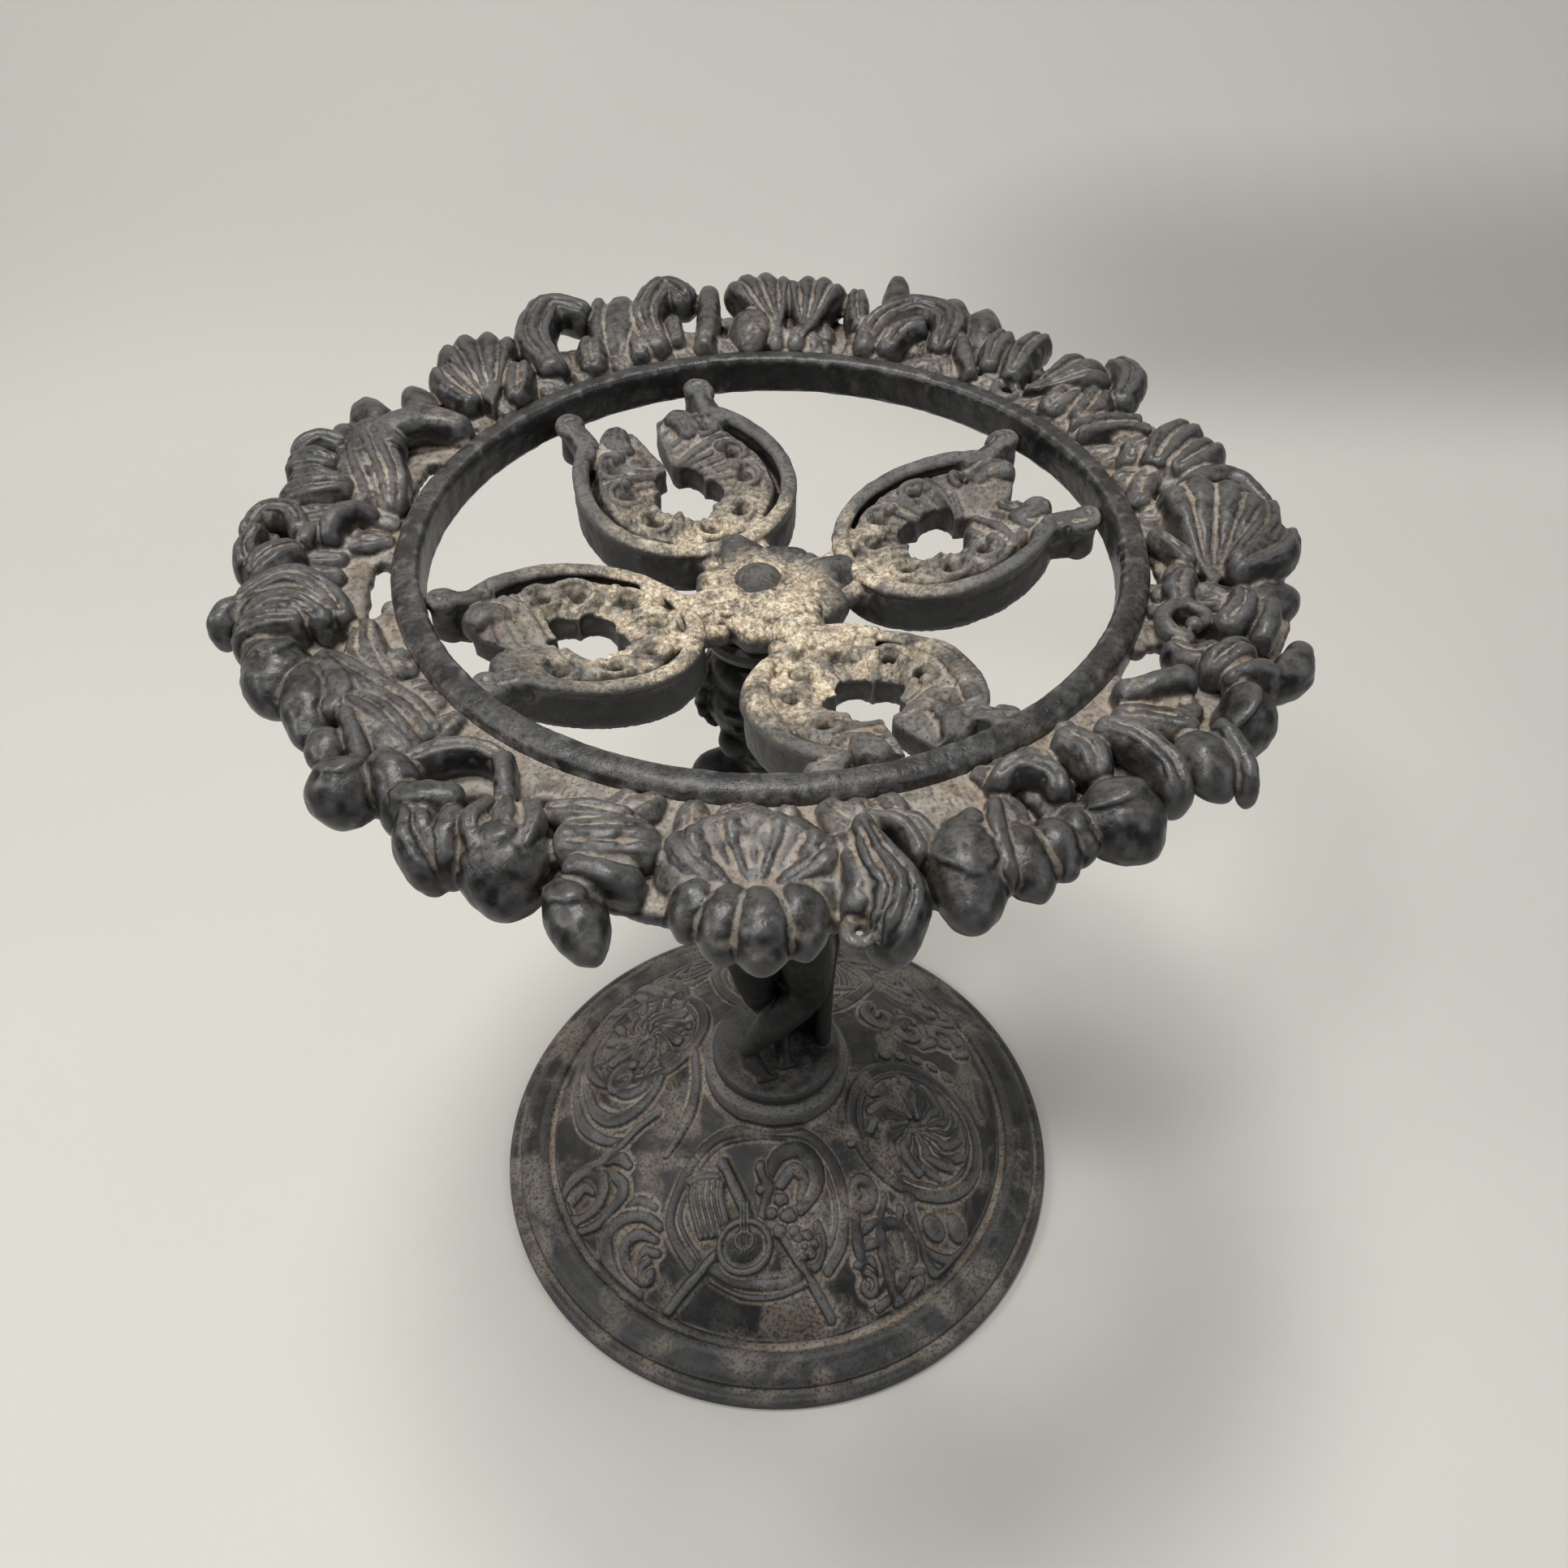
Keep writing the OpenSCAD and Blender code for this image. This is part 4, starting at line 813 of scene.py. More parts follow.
def scroll_web(clay, side, place_it, half, middle, hole):
    """Acanthus leaf inside the loop: a broad band, curls round dark eyes, and tips into the hole."""
    steps, across = 460, 64
    start = math.radians(OPEN_ANGLE)
    a = np.linspace(start, 2 * math.pi - start, steps)
    outer = loop_point(middle, half, a)
    folded = np.minimum(a, 2 * math.pi - a)
    sign = np.where(a < math.pi, 1.0, -1.0)
    round_part = np.clip((folded - math.radians(70)) / math.radians(110), 0, 1)
    notch = np.clip((math.radians(70) - folded) / (math.radians(70) - start), 0, 1)
    random = np.random.default_rng(int(hole[0] * 10))
    # Cusps of the leaf tips stand into the hole
    hole_angle = np.radians(mix(12, 180, round_part))
    bite = np.abs(np.sin(LEAF_TIPS * a + hole[0])) ** 0.7
    r = HOLE_RADIUS + 2.9 * bite - 1.4
    edge_x = hole[0] + r * np.cos(hole_angle)
    edge_y = sign * r * np.sin(hole_angle) + hole[1]
    end_x = middle + 27
    open_notch = side in ("back", "front")
    gap = mix(0.6, 4.4, notch**1.6) if open_notch else mix(-0.8, 7.0, smooth(0.5, 1, notch))
    edge_x = mix(edge_x, end_x, smooth(0, 1, notch) * 0.98)
    edge_y = mix(edge_y, hole[1] + sign * gap, smooth(0, 0.3, notch))
    edge = np.stack([edge_x, edge_y], -1)
    inside = outer + unit(edge - outer) * 1.0
    t = np.linspace(0, 1, across)[None, :]
    flat = inside[:, None] * (1 - t[..., None]) + edge[:, None] * t[..., None]
    # Channel along the strap, then a broad band that sinks gently to the hole
    band_height = mix(-8.5, -2.0, smooth(0.03, 0.24, t)) - 2.4 * smooth(0.5, 1.0, t)
    relief = Relief(flat[..., 0].ravel(), flat[..., 1].ravel())
    eyes = []
    for k, (turn, depth) in enumerate(CURLS):
        i = np.argmin(np.abs(a - math.radians(turn + random.uniform(-5, 5))))
        j = int((depth + random.uniform(-0.03, 0.03)) * across)
        centre = flat[i, j]
        inward = math.degrees(math.atan2(*(edge[i] - outer[i])[::-1]))
        spin = 1 if k < len(CURLS) / 2 else -1
        size = random.uniform(2.5, 3.3)
        relief.ring(*centre, size + 1.4, size + 1.4, 2.4, 1.7, inward + spin * 50, spin * 250)
        end = centre + around(size + 1.2, inward + spin * 50)[:2]
        relief.dome(*end, 1.9, 1.9, 2.2)
        eyes.append((centre, size))
        # Vein that parts this curl from the next and runs out to a tip
        at_vein = np.argmin(np.abs(a - math.radians(turn + 17)))
        vein = [flat[at_vein, int(s * across)] for s in (0.14, 0.4, 0.7, 0.96)]
        relief.stroke(vein, 3.2, 1.3, 0.7, 0.5)
        for shift in (-18, 18):
            beside = np.clip(at_vein + shift, 0, steps - 1)
            relief.stroke([flat[beside, int(s * across)] for s in (0.62, 0.8, 0.97)], 1.5, 0.8)
    for s in (0.2, 0.29):
        relief.stroke(flat[8:-8:24, int(s * across)], 1.5, 0.7, 1.0, 1.0)
    for centre, size in eyes:
        relief.hollow(*centre, size, size, EYE_DEPTH)
    top = np.maximum(band_height + relief.height.reshape(steps, across), -STRAP_HEIGHT + 2.6)
    floor = np.full((steps, 12), -STRAP_HEIGHT + 1.6)
    back = np.linspace(1, 0, 12)[None, :]
    under = inside[:, None] * (1 - back[..., None]) + edge[:, None] * back[..., None]
    upper = np.concatenate([flat, top[..., None]], -1)
    lower = np.concatenate([under, floor[..., None]], -1)
    clay.rings(place_it(np.concatenate([upper, lower], 1)))
    # Rolled ends of the leaf beside the wall
    for up in (1, -1):
        y = 8.5 * up + hole[1]
        tip = [[middle + 15, y * 1.2, -4.4], [middle + 22, y * 1.3, -3.4], [middle + 27, y * 0.85, -4.2]]
        lobe(clay, place_it(tip), [7, 9, 6], 4, ribs=3, depth=0.16, roll=1)


def make_scroll(side):
    turn, middle, half, volute, hole = SCROLLS[side]
    clay = Clay()

    def place_it(points):
        return scroll_to_world(turn, points)

    # Strap on edge from volute to volute, with a beaded rim
    a = np.radians(np.linspace(OPEN_ANGLE + 6, 354 - OPEN_ANGLE, 60))
    loop = loop_point(middle, half, a)
    ends = [np.array([*around(VOLUTE_RING, sign * volute)[:2]]) for sign in (1, -1)]
    line = np.concatenate([ends[0][None], loop, ends[1][None]])
    line = spline(line, 420)
    ahead = unit(np.gradient(line, axis=0))
    sideways = np.stack([-ahead[:, 1], ahead[:, 0]], -1)
    other_side = [(-x, z) for x, z in STRAP_SIDE[::-1]]
    ring = spline([*STRAP_SIDE, *other_side, (0, -STRAP_HEIGHT - 0.3), STRAP_SIDE[0]], 40)[:-1]
    heights = np.broadcast_to(ring[None, :, 1:], (len(line), len(ring), 1))
    wall = np.concatenate([line[:, None] + sideways[:, None] * ring[None, :, :1], heights], -1)
    clay.rings(place_it(wall)[:, ::-1])
    scroll_web(clay, side, place_it, half, middle, hole)

    # Volutes against the hoop's wall
    turns = np.linspace(0, 2 * math.pi, 28)[:-1]
    for sign, seat in zip((1, -1), ends):
        grid = [[[seat[0] + r * math.cos(b), seat[1] + r * math.sin(b), z] for b in turns]
                for r, z in VOLUTE_SECTION]
        clay.rings(place_it(grid)[:, ::-1])
        spin = np.radians(sign * np.linspace(150, -330, 14))
        r = VOLUTE_RADIUS * np.linspace(0.86, 0.2, 14)
        x, y = seat[0] + r * np.cos(spin), seat[1] + r * np.sin(spin)
        points = np.stack([x, y, np.linspace(-2.6, -1.6, 14)], -1)
        tube(clay, place_it(points), [1.9, 1.7, 1.2], 40, 12)
        # Leafy shoulder where the strap turns out to the wall
        i, j = (26, 8) if sign > 0 else (-27, -9)
        shoulder = [[*line[i], -4.2], [*mix(line[i], line[j], 0.6), -4.0], [*seat, -4.4]]
        lobe(clay, place_it(shoulder), [4.6, 6.8, 6], 4, ribs=3, depth=0.18)
    if side == "front":
        # A broad veined leaf lies over most of this strap
        for places, width in STRAP_LEAVES:
            plan = [loop_point(middle, half - 0.6, math.radians(v)) * [0.985, 0.97] for v in places]
            points = [[*spot, -0.6 - 0.5 * (k % 2)] for k, spot in enumerate(plan)] - np.array([0, 0, 2.4])
            lobe(clay, place_it(points), [4, width, width, 4], 4.6, ribs=3, depth=0.14, roll=1)
    # Neck into the hub
    start = middle - REACH_IN
    neck = place_it([[9, 0, -7.5], [(9 + start) / 2, 0, -6.6], [start + 1, 0, -7.0]])
    tube(clay, neck, [8.6, 7.4, 6.4], 12, 22, flat=0.85)
    for s in (1, -1):
        sprig = place_it([[start - 6, s * 6.5, -6], [start + 3, s * 8.5, -4], [start + 7, s * 12, -3]])
        tube(clay, sprig, [3.2, 2.6, 1.8], 10, 12)
    return settle(clay, "leaf_scroll_" + side, 0.45, soften=2, rough=0.35)


# Each lump of the hub: where it is in plan, and its radius
HUB_LUMPS = (
    (10, 9, 4), (-11, -9, 4.6), (9, -11, 4.2), (-10, 10, 3.6), (0, -14, 3.4), (13, -1, 3.2), (-14, 1, 3.4),
)


def make_hub():
    """Lumpy square boss under the screw, with a low seat round the head."""
    clay = Clay()
    mid, half_height = (HUB_TOP + HUB_BOTTOM) / 2, (HUB_TOP - HUB_BOTTOM) / 2
    sides = 96
    turn = np.linspace(0, 2 * math.pi, sides, endpoint=False)
    square = 1 / (np.abs(np.cos(turn - 0.5)) ** 4.5 + np.abs(np.sin(turn - 0.5)) ** 4.5) ** (1 / 4.5)
    grid = []
    for level in np.linspace(-0.995, 0.995, 20):
        width = max((1 - abs(level) ** 2.6) ** 0.4, 0.05)
        r = 17.2 * square * width
        grid.append(np.stack([r * np.cos(turn), r * np.sin(turn), np.full(sides, mid + level * half_height)], -1))
    clay.rings(np.array(grid))
    for toward, *_ in SCROLLS.values():
        arm = [around(r, toward, HUB_TOP - down) for r, down in ((5, 6.4), (13, 6), (19, 6))]
        tube(clay, arm, [6.4, 7.4, 7.0], 10, 20, flat=0.84)
    # Lumps of old casting and a collar round the screw's head
    for x, y, r in HUB_LUMPS:
        ball(clay, [x, y, HUB_TOP - 2.6], [r, r * 0.9, 2.4], x * 7)
    angle = np.linspace(0, 2 * math.pi, 40)
    ring = np.stack([HEAD_SHIFT + 7.9 * np.cos(angle), 7.9 * np.sin(angle), np.full(40, HUB_TOP - 1.3)], -1)
    tube(clay, ring, [1.3, 1.3], 60, 12)
    return settle(clay, "hub_boss", 0.45, soften=3, rough=0.8)


# ------------------------------------------------------------------ figure


# Drawing lists of the child in head heights: BODY, then BODY_SIDES, which is drawn on both sides
BODY = """
# Legs, crossed at the shins, and feet
tube 0.18 0.05 2.1, 0.27 -0.1 1.5, 0.28 -0.16 1.02, -0.02 -0.2 0.62,
-0.26 -0.2 0.2; 0.31 0.26 0.175 0.165 0.085; 26 22
ball 0.28 -0.22 1.02; 0.13 0.1 0.14
tube -0.27 -0.14 0.14, -0.24 -0.26 0.12, -0.12 -0.4 0.06; 0.085 0.09 0.06; 26 22 0.8
tube -0.19 0.05 2.1, -0.2 -0.04 1.5, -0.18 -0.06 1.02, -0.08 0.06 0.62,
0.04 0.08 0.2; 0.31 0.26 0.175 0.165 0.085; 26 22
ball -0.18 -0.14 1.02; 0.13 0.1 0.14
tube 0.04 0.14 0.12, 0.05 -0.02 0.13, 0.08 -0.24 0.06; 0.085 0.09 0.06; 26 22 0.8
# Trunk, shoulders and neck
tube 0 0.07 2, 0 0.02 2.44, 0 -0.03 2.8, 0 0.03 3.36, 0 0.07 3.68; 0.4 0.42 0.42 0.41 0.27; 26 22 0.86
ball 0 -0.14 2.62; 0.3 0.28 0.32
tube -0.42 0.07 3.6, 0 0.08 3.7, 0.42 0.07 3.6; 0.19 0.22 0.19; 26 22
tube 0 0.08 3.6, 0 0.03 4.15; 0.23 0.21; 26 22
# Arms: one hand on the belly, the other holding the cloth
tube -0.42 0.07 3.6, -0.58 0.14 3.26, -0.68 0.2 2.9, -0.56 0.04 2.64,
-0.42 -0.16 2.48; 0.19 0.17 0.13 0.125 0.085; 26 22
ball -0.37 -0.22 2.42; 0.12 0.09 0.07; -40
tube 0.42 0.07 3.6, 0.57 0.12 3.26, 0.64 0.14 2.9, 0.6 0.02 2.6,
0.52 -0.12 2.34; 0.19 0.17 0.13 0.125 0.085; 26 22
ball 0.5 -0.18 2.24; 0.09 0.09 0.12; 10
# Skull, crown, jaw, chin, nose and lips: eyes half way up, nose and mouth in thirds below
ball 0 0.05 4.5; 0.41 0.45 0.44
ball 0 -0.14 4.22; 0.3 0.25 0.27
ball 0 0.02 4.78; 0.36 0.38 0.225
ball 0 -0.27 4.02; 0.12 0.1 0.09
tube 0 -0.37 4.5, 0 -0.405 4.38, 0 -0.425 4.31; 0.035 0.04 0.05; 26 22
tube -0.085 -0.365 4.17, 0 -0.4 4.185, 0.085 -0.365 4.17; 0.02 0.03 0.02; 26 22
tube -0.07 -0.355 4.135, 0 -0.39 4.125, 0.07 -0.355 4.135; 0.02 0.032 0.02; 26 22
# Cloth over the hips and behind the legs
tube -0.4 0.1 2.2, 0 -0.26 1.98, 0.44 0.02 2.2; 0.12 0.12 0.13; 26 22
tube 0.4 0.1 2.2, 0.32 0.2 1.2, 0.28 0.24 0.06; 0.16 0.12 0.14; 20 16
tube 0.1 0.24 2.1, 0.08 0.28 1.2, 0.06 0.3 0.06; 0.16 0.12 0.13; 20 16
"""
BODY_SIDES = """
# Chest, seat and the slope of the shoulder
ball 0.17 -0.15 3.34; 0.2 0.15 0.17
ball 0.16 0.2 2.14; 0.27 0.24 0.26
tube 0.4 0.08 3.62, 0.2 0.09 3.78, 0.08 0.08 3.98; 0.15 0.14 0.12; 26 22
# Cheek, brow, eye and ear
ball 0.17 -0.24 4.24; 0.15 0.14 0.15
tube 0.25 -0.3 4.55, 0.14 -0.38 4.58, 0.05 -0.385 4.55; 0.03 0.035 0.03; 26 22
ball 0.14 -0.355 4.44; 0.065 0.045 0.042
ball 0.41 0.02 4.36; 0.05 0.09 0.11
"""
# Rows of curls on the head: how far up, in degrees, and how many
CURL_ROWS = ((78, 5), (56, 11), (34, 15), (12, 16), (-10, 15), (-32, 11))
CLOTH_FOLDS = ((0.56, -0.02), (0.52, 0.1), (0.42, 0.2), (0.3, 0.28), (0.18, 0.33), (0.05, 0.36), (-0.08, 0.36))


def body_point(x, y, z):
    """Point of the body in head heights; the head leans to where the pad and the screw are."""
    lean = HEAD_SHIFT * smooth(3.3, 4.1, z)
    return np.array([x * HEAD_UNIT + lean, y * HEAD_UNIT, PLINTH_TOP + z * HEAD_UNIT])


def body_tube(clay, joints, radii, steps=26, sides=22):
    tube(clay, [body_point(*p) for p in joints], [r * HEAD_UNIT for r in radii], steps, sides)


def body_ball(clay, centre, radii, tilt=0):
    ball(clay, body_point(*centre), [r * HEAD_UNIT for r in radii], tilt)


def figure_digits(c):
    for k in range(5):
        body_ball(c, (-0.16 + 0.04 * k, -0.45 + 0.012 * k, 0.045), (0.022, 0.045, 0.03), -20)
        body_ball(c, (0.02 + 0.035 * k, -0.3 + 0.012 * abs(k - 1), 0.045), (0.022, 0.045, 0.03))
    for k in range(4):
        finger = [(-0.36 + 0.02 * k, -0.26, 2.44 - 0.04 * k), (-0.24 + 0.02 * k, -0.33, 2.38 - 0.04 * k)]
        body_tube(c, finger, [0.032, 0.026], 8, 10)
        body_tube(c, [(0.44 + 0.04 * k, -0.22, 2.22), (0.44 + 0.035 * k, -0.28, 2.08)], [0.032, 0.026], 8, 10)


def figure_curls(c):
    """Short curls that hug the crown, the temples and the nape, and leave the face free."""
    random = np.random.default_rng(11)
    middle = np.array([0, 0.06, 4.48])
    wide = np.linspace(0.095, 0.02, 9)
    for row, (rise, count) in enumerate(CURL_ROWS):
        for k in range(count):
            turn = 360 * (k + 0.5 * (row % 2)) / count + random.uniform(-5, 5)
            up, side = math.radians(rise + random.uniform(-4, 4)), math.radians(turn)
            normal = np.array([math.cos(up) * math.cos(side), math.cos(up) * math.sin(side), math.sin(up)])
            if normal[1] < -0.35 and rise < 50:
                continue
            across = unit(np.cross(normal, [0.1, 0.2, 1]))
            along = np.cross(normal, across)
            spot = middle + normal * [0.43, 0.46, 0.42]
            sweep = np.linspace(0, random.choice((-1, 1)) * 7.5, 9) + random.uniform(0, 6)
            line = [
                spot + across * w * math.cos(s) + along * w * math.sin(s) + normal * (0.045 - 0.4 * w)
                for s, w in zip(sweep, wide)
            ]
            body_tube(c, line, [0.04, 0.045, 0.04], 26, 8)
            body_ball(c, spot - normal * 0.03, (0.09, 0.09, 0.08))


def figure_cloth(c):
    """Folds gathered over the hips, and folds that fall behind the legs."""
    for k in range(4):
        z = 2.3 - 0.09 * k
        waist = [(-0.42, -0.05 + 0.02 * k, z), (-0.1, -0.36, z - 0.2), (0.25, -0.3, z - 0.18), (0.5, -0.1, z)]
        body_tube(c, waist, [0.05, 0.06, 0.06, 0.06], 20, 12)
    for k, (x, y) in enumerate(CLOTH_FOLDS):
        sway = 0.04 * math.sin(k * 2.1)
        fold = [(x * 0.7, y * 0.6, 2.34 - 0.03 * k), (x * 0.98, y, 2.1 - 0.05 * k), (x * 0.92 + sway, y + 0.03, 1.5),
                (x * 0.84, y + 0.05, 0.8), (x * 0.8, y + 0.04, 0.05)]
        body_tube(c, fold, [0.07, 0.075, 0.065, 0.07, 0.085], 34, 14)


def make_figure():
    clay = Clay()
    draw(clay, BODY, body_point, HEAD_UNIT)
    for side in (-1, 1):
        draw(clay, BODY_SIDES, lambda x, y, z: body_point(side * x, y, z), HEAD_UNIT)
    figure_digits(clay)
    figure_curls(clay)
    figure_cloth(clay)
    return settle(clay, "standing_child", 0.6, soften=2, rough=0.2)


# ------------------------------------------------------------------ foot

PANEL_FRAME = [
    (-30, -66), (-36, -58), (-38, -50.7), (-33.9, -41.4), (-28.3, -33.7), (-20.8, -28.4), (-10, -26.9),
    (1.2, -27.2), (11.2, -29.4), (18.5, -35.8), (22.3, -44.5), (24, -53.8), (21.9, -62.2), (17.3, -68.6),
]
# Drawing lists of the relief in plan: see sketch()
RODS_AND_LUTE = """
stroke -19 -62, -32.4 -71.1, -41.5 -78; 2.6 2.3 1
stroke 0 -58, 10.5 -70.8, 18.2 -80.6; 2.6 2.3 1
# Lute: bowl, its rim and sound hole, and the neck
dome -11.6 -62 9.6 7.6 2.6 0.4
ring -11.6 -62 8.6 6.8 2 3.4
ring -11.6 -60.5 3 2.4 1.2 3.7
stroke -19.4 -37, -14.4 -46.4, -9.8 -55.5; 3 3.2 0.9
"""
HORN_AND_WREATH = """
# Head of the ribbed book
stroke -30.5 -41.6, -25.7 -40.8, -20.7 -41.4; 2.2 2.4 1
# Horn of leaves
stroke -3 -41, 1 -35.4, 8 -33.6, 13.6 -39, 13 -46, 8 -52; 4.6 2.5 0.7 0.7
stroke 1 -45, 5.6 -40, 9.4 -43, 8.2 -49; 3.6 2.9 0.7 0.8
stroke -6 -39, -3.4 -47, -5.4 -54; 3.6 2.6 0.7 0.8
dome -4.5 -46 3.2 2.56 2.6
dome 0.6 -49.5 3.4 2.72 2.6
dome -2.6 -53 3 2.4 2.6
dome 3.6 -54 3.4 2.72 2.6
dome 0.8 -58.6 3 2.4 2.6
dome 5.4 -58.6 2.6 2.08 2.6
# Middle of the rosette, and the wreath
dome 9.2 -62.4 1.5 1.2 3.2
stroke 13.8 -57, 15.6 -62, 13.4 -67.4, 8 -70; 2.6 1.8 0.8
stroke -24.4 -66.5, -16.3 -71, -7.8 -72.8, 2 -72.6, 9.6 -69.8; 2.8 1.9 1
stroke -23.6 -69.8, -15.1 -74, -7.8 -75.6, 0.7 -75.2, 9.8 -72.4; 1.8 1.4 1
"""
# Acanthus scroll: bent leaves, the outer one the longest
COMMA = """
stroke 10 4, 4 8.6, -4 10, -10 6.6, -9.4 -0.4, -4.4 -7.8, 2 -13.2; 4.4 2.3 0.5 0.5
stroke 8.6 0.4, 3 3.4, -2.4 2, -2 -4, 3 -9.8; 3.6 2.2 0.5 0.5
stroke 9.6 -3.4, 5 -2, 2.6 -5; 3.2 2.2 0.5 0.5
stroke -11 2, -13.6 -3.6, -11 -9; 3 1.6 0.5 0.5
stroke -5 12.4, 2 13.2, 8 10; 3 1.6 0.5 0.5
"""
# Loose spray of leaves with a rolled tip
FLOURISH = """
stroke -11 1, -6 5, 1 5.4, 7 0, 6 -6, 0 -9, -8 -7; 4.2 2.3 0.6 0.5
stroke -5 -2, 0 1, 4 -2; 3.4 2.2 0.6 0.5
stroke -4 -12, 6 -12.4, 13 -9.4, 15 -4, 12 0; 4 2.1 0.6 0.5
stroke 8 6, 13 6, 17 2; 3.4 1.9 0.6 0.5
"""
SIDES_OF_BELL = """
# Left cartouche: an oval with a rolled ribbon
stroke -31 10, -29.6 -4, -31.2 -16, -35.6 -24.6, -40 -31; 3.2 1.9 0.6 0.6
stroke -79 18, -78 4, -73 -9, -64 -18.6, -55 -22; 3.2 1.8 0.6 0.6
stroke -74 9, -69.4 -4, -62 -11.6, -54 -12, -46.8 -7.2, -43.4 0; 4.2 2.4 0.6 0.6
stroke -66 12, -63 4, -56 -3, -50 -2, -48 6; 3.8 2.3 0.7 0.7
spiral -57.6 3.4 6.4 60 400 3.2 2.5
stroke -70 17, -62 20, -54 17, -47 20; 3.8 2.1 0.7 0.7
dome -40.4 6 4.2 5.4 2.4
stroke -43.8 -15, -51.6 -18.6, -59.4 -24.4, -66 -26.7, -72.6 -27; 3 2 0.6 0.7
# Leaves of the right side, below and above the medallion
stroke 46 -50, 49.7 -56, 54.8 -59.4, 64.3 -58, 72 -50; 3.4 2 0.6 0.6
dome 56 -51 4.6 4.2 2.6
dome 64.6 -48.6 4.2 4.6 2.6
dome 41 7.6 2.4 2 2
dome 47 9 2.4 2 2
dome 53.5 9.6 2.4 2 2
dome 60 9 2.4 2 2
dome 66 7 2.4 2 2
"""
UPPER_LEFT = """
stroke -66 58, -60 64, -53 60, -47 48, -46 37; 4.2 2.3 0.6 0.5
stroke -63 52, -57 54, -52.6 46, -53 38; 3.6 2.3 0.6 0.6
stroke -74 44, -68 50, -60 44, -54.4 32; 4 2.1 0.6 0.6
stroke -52 30, -44.5 23.5, -38 21, -32 24; 3.4 2 0.6 0.6
stroke -45 62, -38.6 50, -35.6 36; 4 2.1 0.6 0.6
spiral -38 38 6 80 360 3 2.2
"""


def sketch(r, drawing, x=0, y=0, across=1):
    """Carves a drawing list: a stroke has points and then its sizes, any other form just numbers."""
    for line in drawing.strip().splitlines():
        name, rest = line.split(" ", 1)
        if name == "stroke":
            points, sizes = rest.split(";")
            points = [numbers(point) for point in points.split(",")]
            r.stroke([(x + across * a, y + b) for a, b in points], *numbers(sizes))
        elif name != "#":
            getattr(r, name)(*numbers(rest))


def bell_height(r):
    u = np.clip((BELL_RADIUS - r) / (BELL_RADIUS - COLLAR_RADIUS), 0, 1)
    return mix(BELL_START, COLLAR_TOP - COLLAR_HEIGHT, u) + BELL_SWELL * np.sin(math.pi * u**0.9)


def trophy_panel(r):
    """Arched panel with crossed rods behind a lute, a ribbed book, a horn of leaves and a wreath."""
    r.stroke(PANEL_FRAME, 3.4, 1.9, 0.8, 0.8)
    r.stroke([(mix(x, -7, 0.1), mix(y, -50, 0.1)) for x, y in PANEL_FRAME], 1.4, 0.9, 1)
    sketch(r, RODS_AND_LUTE)
    for k in range(3):
        r.stroke([(-12.8 + k * 1.2, -50), (-12.6 + k * 1.2, -64)], 0.8, 3.7, 1)
    for k in range(6):
        x = -29.8 + 2.0 * k
        r.stroke([(x, -41.5 - 0.3 * k), (x - 0.4, -48), (x + 2.6, -58)], 2.1, 1.9 + 0.1 * k, 0.9, 0.9)
        a = math.radians(60 * k + 15)
        r.dome(9.2 + 3.3 * math.cos(a), -62.4 + 2.7 * math.sin(a), 2.4, 2.0, 2.6)
    sketch(r, HORN_AND_WREATH)


def ruffled_medallion(r, x, y, rx, ry, petals, swirl):
    """Round medallion: a double ring round a swirl of crumpled petals."""
    r.ring(x, y, rx, ry, 3.2, 1.9)
    r.ring(x, y, rx - 3.2, ry - 3.0, 1.6, 1.1)
    for k in range(petals):
        shrink = 1 - 0.1 * (k % 2)
        line = []
        for t, wave in ((0.2, 0), (0.45, 0.1), (0.7, -0.08), (0.98, 0.06)):
            a = 2 * math.pi * k / petals + swirl * t**1.3 + wave
            line.append((x + (rx - 5.2) * shrink * t * math.cos(a), y + (ry - 5.0) * shrink * t * math.sin(a)))
        r.stroke(line, 3.6 if k % 2 else 3.0, 2.6 if k % 2 else 2.0, 0.9, 0.4)
    r.hollow(x, y, 4.5, 4.0, 1.2)


def comma_scroll(r, x, y, flip):
    sketch(r, COMMA, x, y, flip)
    r.spiral(x + flip * 6, y - 8, 3.4, 90, 330 * flip, 2.2, 2.6)
    r.dome(x + flip * 6, y - 8, 1.4, 1.2, 2.8)


def carve(r):
    for turned in (0, 180):
        r.facing(turned)
        trophy_panel(r)
        comma_scroll(r, -52, -57, 1)
        comma_scroll(r, 37, -63, -1)
    r.facing(0)
    ruffled_medallion(r, 51, -19, 24, 23, 15, 0.9)
    sketch(r, FLOURISH, -71, -33)
    sketch(r, SIDES_OF_BELL)
    for x, y, start in ((66, 27, 20), (52, 24, 75), (41, 28, 130), (62, 44, 0)):
        r.spiral(x, y, 7, start, 380, 3.2, 2.3)
        r.stroke([(x + 5, y - 6), (x + 10, y), (x + 8, y + 7)], 3.2, 2.0, 0.6, 0.6)
    # Upper left acanthus, turned to the hidden side too
    for turned in (0, 168):
        r.facing(turned)
        sketch(r, UPPER_LEFT)
    r.facing(176)
    ruffled_medallion(r, 52, -19, 23, 22, 13, -0.8)


# Moulded rim of the foot: how far in from its edge, and the height
RIM = (
    (7, 0), (3, 0), (1, 0), (0.2, 0.6), (0, 1.8), (0.3, 3.4), (1.6, 4.6), (3.6, 5.0), (4.7, 5.7), (5.4, 7.2),
    (7.6, 8.8), (10.4, 9.8), (13.2, 10.9), (15.4, 10.8), (16.8, 9.8), (18.2, 9.7),
)
ROUND_THE_FOOT = 1300
BELL_WALL = 5.2
COLLAR_ROOF = 9.2
BOLT_HOLE = 6


